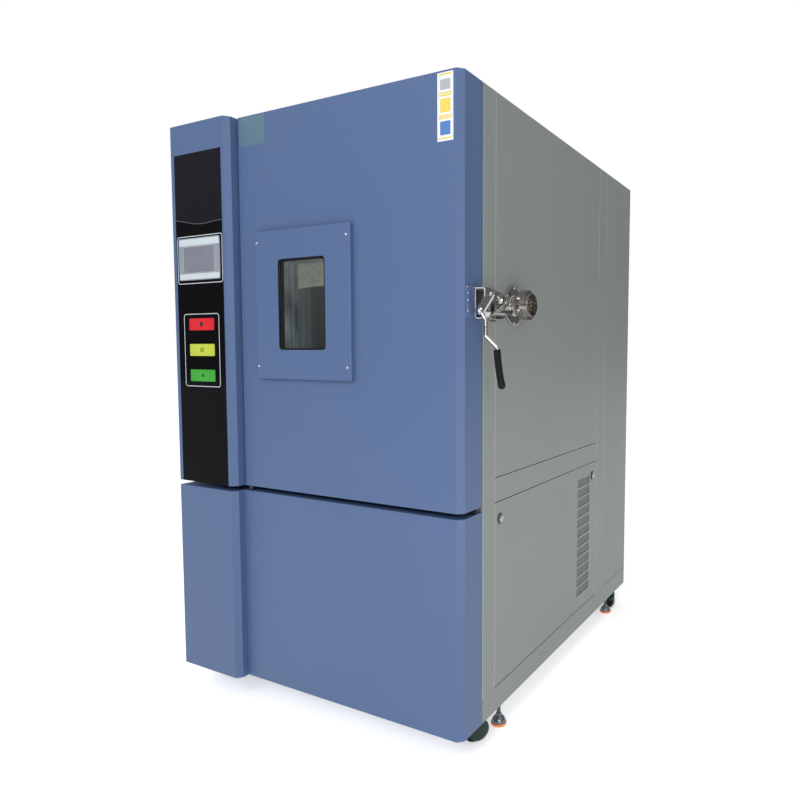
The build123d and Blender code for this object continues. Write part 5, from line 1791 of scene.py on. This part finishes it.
@dataclass
class Panelwork:
    """Painted highlights along the edges, painted shade in the seams and under the door, and louvre lips of
    the cabinet's sheet.
    """

    seam: float = 3.6 * MM
    louvre_columns: int = 6
    louvre_rows: int = 10
    louvre_pitch: Span = (130.0, 26.0)
    louvre_size: Span = (90.0, 8.0)
    louvre_middle_up: float = 330.0

    def __post_init__(self) -> None:
        """Take the side planes and the panels' boxes from the frame."""
        self.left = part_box("cabinet_frame")[0][0]
        self.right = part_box("cabinet_frame")[1][0]
        self.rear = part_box("rear_panel")[1][1]

    def painted_strip(self, name: str, side: int, y_span: Span, z_span: Span) -> bpy.types.Object:
        """Make a thin strip that lies in a seam or along a post, as painted shade or a painted highlight.

        Args:
            name: Name of the strip.
            side: 1 for the right side, -1 for the left.
            y_span: Front and rear, in metres.
            z_span: Bottom and top, in metres.

        Returns:
            The strip.
        """
        face = self.right if side > 0 else self.left
        near, far = sorted((face - side * 0.2 * MM, face + side * 0.25 * MM))
        low = Vector((near, y_span[0], z_span[0]))
        high = Vector((far, y_span[1], z_span[1]))
        return Workshop.block(name, low, high, 0.1 * MM)

    def seams(self) -> None:
        """Lay strips of painted shade along the rail and the skirt, with painted highlights under them and up
        the posts, on both sides.
        """
        upper_low, upper_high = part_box("upper_side_panels")
        lower_low, lower_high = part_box("service_panel")
        rear_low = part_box("rear_side_panels")[0]
        strips = []
        highlight_strips = []
        half = self.seam / 2
        posts = (lower_low[2], upper_high[2])
        for side in (-1, 1):
            y_span = (upper_low[1], upper_high[1])
            for index, level in enumerate((upper_low[2], lower_high[2], lower_low[2])):
                lower = level - half
                strips.append(self.painted_strip(f"seam_{side}_{index}", side, y_span, (lower, level + half)))
                highlight_strips.append(self.painted_strip(f"rail_highlight_{side}_{index}", side, y_span, (lower - half, lower)))
            for index, place in enumerate((upper_low[1], upper_high[1], rear_low[1])):
                bead = (place - 0.8 * half, place + 0.8 * half)
                highlight_strips.append(self.painted_strip(f"post_highlight_{side}_{index}", side, bead, posts))
            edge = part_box("cabinet_frame")[0][1]
            highlight_strips.append(self.painted_strip(f"front_highlight_{side}", side, (edge, edge + 2.2 * half), posts))
        fit(Workshop.join("panel_seam_shadows", strips), SEAM_SHADE, "cabinet")
        fit(Workshop.join("post_highlights", highlight_strips), CABINET_HIGHLIGHT, "cabinet")

    def door_gap(self) -> None:
        """Close the back of the gap under the door with a black strip of painted shade."""
        door_low, door_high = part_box("door_shell")
        front_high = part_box("front_fascia")[1]
        strip = Workshop.plate(
            "door_gap_shade",
            Vector((door_low[0], door_high[1] - 30 * MM, front_high[2] + 0.5 * MM)),
            Vector((door_high[0] - 2 * MM, door_high[1] - 22 * MM, door_low[2] - 3 * MM)),
            2 * MM,
            Axis.X,
        )
        fit(strip, SHADE_AND_MARK_BLACK, "cabinet")

    def louvre_lips(self) -> None:
        """Hood each slot of the rear panel with a pressed lip, made once and copied."""
        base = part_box("front_fascia")[0][2]
        middle_x = (self.left + self.right) / 2
        middle_z = base + self.louvre_middle_up * MM
        width, height = self.louvre_size
        first = Workshop.block(
            "louvre_lip",
            Vector((-width / 2 * MM, -0.5 * MM, 0.0)),
            Vector((width / 2 * MM, 0.0, (height + 3) * MM)),
        )
        Workshop.pick_faces(first, (0, 1, 0))
        bpy.ops.mesh.extrude_region_move(TRANSFORM_OT_translate={"value": (0, 5 * MM, -1.5 * MM)})
        bpy.ops.transform.resize(value=(0.94, 1, 0.3), center_override=(0, 5 * MM, 0))
        Workshop.edit(first, "SELECT")
        bpy.ops.mesh.bevel(offset=1.0 * MM, segments=2, affect="EDGES")
        Workshop.clear()
        places = []
        for column in range(self.louvre_columns):
            for row in range(self.louvre_rows):
                across = (column - (self.louvre_columns - 1) / 2) * self.louvre_pitch[0] * MM
                up = (row - (self.louvre_rows - 1) / 2) * self.louvre_pitch[1] * MM
                places.append(Vector((middle_x + across, self.rear - 5.5 * MM, middle_z + up)))
        fit(Workshop.copies("louvre_lips", first, places), CABINET, "cabinet")

    def build(self) -> None:
        """Build the panelwork's details."""
        self.seams()
        self.door_gap()
        self.louvre_lips()


@dataclass
class Studio:
    """Pale floor, soft lights and the camera at the photograph's angle."""

    eye: Point = (1419.0, -1446.3, 1049.5)
    yaw: float = -27.843
    pitch: float = -4.033
    roll: float = 0.248
    focal_px: float = 657.54
    centre_px: Span = (503.19, 398.41)
    image_px: float = 800.0
    sensor: float = 36.0
    floor_size: float = 40.0
    sky: float = 1.0
    floor_glow: float = 0.40
    horizon: tuple[Span, ...] = ((0.42, 0.12), (0.51, 0.10), (0.57, 0.22), (0.64, 0.60), (0.78, 0.85))

    def floor(self) -> None:
        """Lay the pale floor."""
        Workshop.clear()
        bpy.ops.mesh.primitive_plane_add(size=self.floor_size, location=(0, 0, 0))
        floor = Workshop.settle("studio_floor")
        made = bpy.data.materials.new("studio_floor")
        made.use_nodes = True
        nodes = Nodes(made.node_tree)
        shader = made.node_tree.nodes["Principled BSDF"]
        shader.inputs["Roughness"].default_value = 0.9
        noise = nodes.noise(nodes.add("ShaderNodeTexCoord").outputs["Object"], Scale=6.0)
        colour = nodes.mix(noise, (0.90, 0.90, 0.90), (0.93, 0.93, 0.93))
        nodes.link(colour, shader.inputs["Base Color"])
        shader.inputs["Emission Color"].default_value = (1.0, 1.0, 1.0, 1.0)
        shader.inputs["Emission Strength"].default_value = self.floor_glow
        floor.data.materials.append(made)

    def world(self) -> None:
        """Fill the surroundings with soft light, white to the eye and dark low down in the metal."""
        world = bpy.data.worlds.new("studio")
        world.use_nodes = True
        nodes = Nodes(world.node_tree)
        back = world.node_tree.nodes["Background"]
        split = nodes.add("ShaderNodeSeparateXYZ")
        nodes.link(nodes.add("ShaderNodeTexCoord").outputs["Generated"], split.inputs[0])
        ramp = nodes.add("ShaderNodeValToRGB")
        height = nodes.math("MULTIPLY", split.outputs["Z"], 0.5)
        nodes.link(nodes.math("ADD", height, 0.5), ramp.inputs["Fac"])
        stops = ramp.color_ramp.elements
        stops[0].position, stops[0].color = 0.0, (0.30, 0.30, 0.31, 1.0)
        stops[1].position, stops[1].color = 1.0, (1.0, 1.0, 1.0, 1.0)
        for position, level in self.horizon:
            stop = stops.new(position)
            stop.color = (level, level, level * 1.02, 1.0)
        side = nodes.math("MULTIPLY", split.outputs["X"], 0.6)
        rear = nodes.math("MULTIPLY", split.outputs["Y"], 0.8)
        away = nodes.math("MAXIMUM", nodes.math("ADD", side, rear), 0.0)
        shaded = nodes.mix(nodes.math("MULTIPLY", away, 0.6), ramp.outputs["Color"], (0.16, 0.16, 0.16))
        seen = nodes.add("ShaderNodeLightPath").outputs["Is Camera Ray"]
        nodes.link(nodes.mix(seen, shaded, (1.0, 1.0, 1.0)), back.inputs["Color"])
        back.inputs["Strength"].default_value = self.sky
        bpy.context.scene.world = world
        bpy.context.scene.view_settings.view_transform = "Standard"

    def light(self, name: str, place: Point, aim: Point, size: float, power: float) -> None:
        """Hang a soft area light.

        Args:
            name: Name of the light.
            place: Where it hangs, in metres.
            aim: What it points at, in metres.
            size: Side of its square, in metres.
            power: Power in watts.
        """
        Workshop.clear()
        turn = (Vector(aim) - Vector(place)).to_track_quat("-Z", "Y").to_euler()
        bpy.ops.object.light_add(type="AREA", location=place, rotation=turn)
        lamp = bpy.context.object
        lamp.name = name
        lamp.data.size = size
        lamp.data.energy = power

    def camera(self) -> None:
        """Set the camera where the photograph was taken."""
        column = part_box("front_fascia")
        body_middle = (column[0][0] + column[1][0]) / 2
        origin = Vector((body_middle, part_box("door_shell")[0][1], column[0][2]))
        yaw, pitch, roll = (math.radians(value) for value in (self.yaw, self.pitch, self.roll))
        ahead = Vector((math.sin(yaw) * math.cos(pitch), math.cos(yaw) * math.cos(pitch), math.sin(pitch)))
        right = Vector((math.cos(yaw), -math.sin(yaw), 0.0))
        above = right.cross(ahead)
        turned_right = right * math.cos(roll) + above * math.sin(roll)
        turned_up = above * math.cos(roll) - right * math.sin(roll)
        Workshop.clear()
        bpy.ops.object.camera_add()
        camera = bpy.context.object
        camera.name = "photo_camera"
        turn = Matrix((turned_right, turned_up, -ahead)).transposed()
        camera.matrix_world = Matrix.Translation(origin + mm(*self.eye)) @ turn.to_4x4()
        camera.data.sensor_width = self.sensor
        camera.data.lens = self.sensor * self.focal_px / self.image_px
        camera.data.shift_x = (self.image_px / 2 - self.centre_px[0]) / self.image_px
        camera.data.shift_y = (self.centre_px[1] - self.image_px / 2) / self.image_px
        bpy.context.scene.camera = camera

    def build(self) -> None:
        """Build the studio."""
        self.floor()
        self.world()
        self.light("key", (0.6, -4.8, 3.4), (0.0, 0.0, 1.0), 2.2, 112.0)
        self.light("edge", (3.4, -3.6, 1.9), (0.48, -0.65, 1.1), 1.0, 34.0)
        self.light("side", (1.7, -1.7, 0.5), (0.5, -0.7, 0.5), 1.0, 6.0)
        self.camera()


def main() -> None:
    """Build the looks, sub-assembly by sub-assembly."""
    logging.basicConfig(level=logging.INFO, format="%(name)s: %(message)s")
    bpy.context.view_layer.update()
    for part in (Cabinet(), Panelwork(), ControlColumn(), Door(), Latch(), Port(), RunningGear(), Studio()):
        part.build()
        LOG.info("built %s", type(part).__name__)


if __name__ == "__main__":
    main()
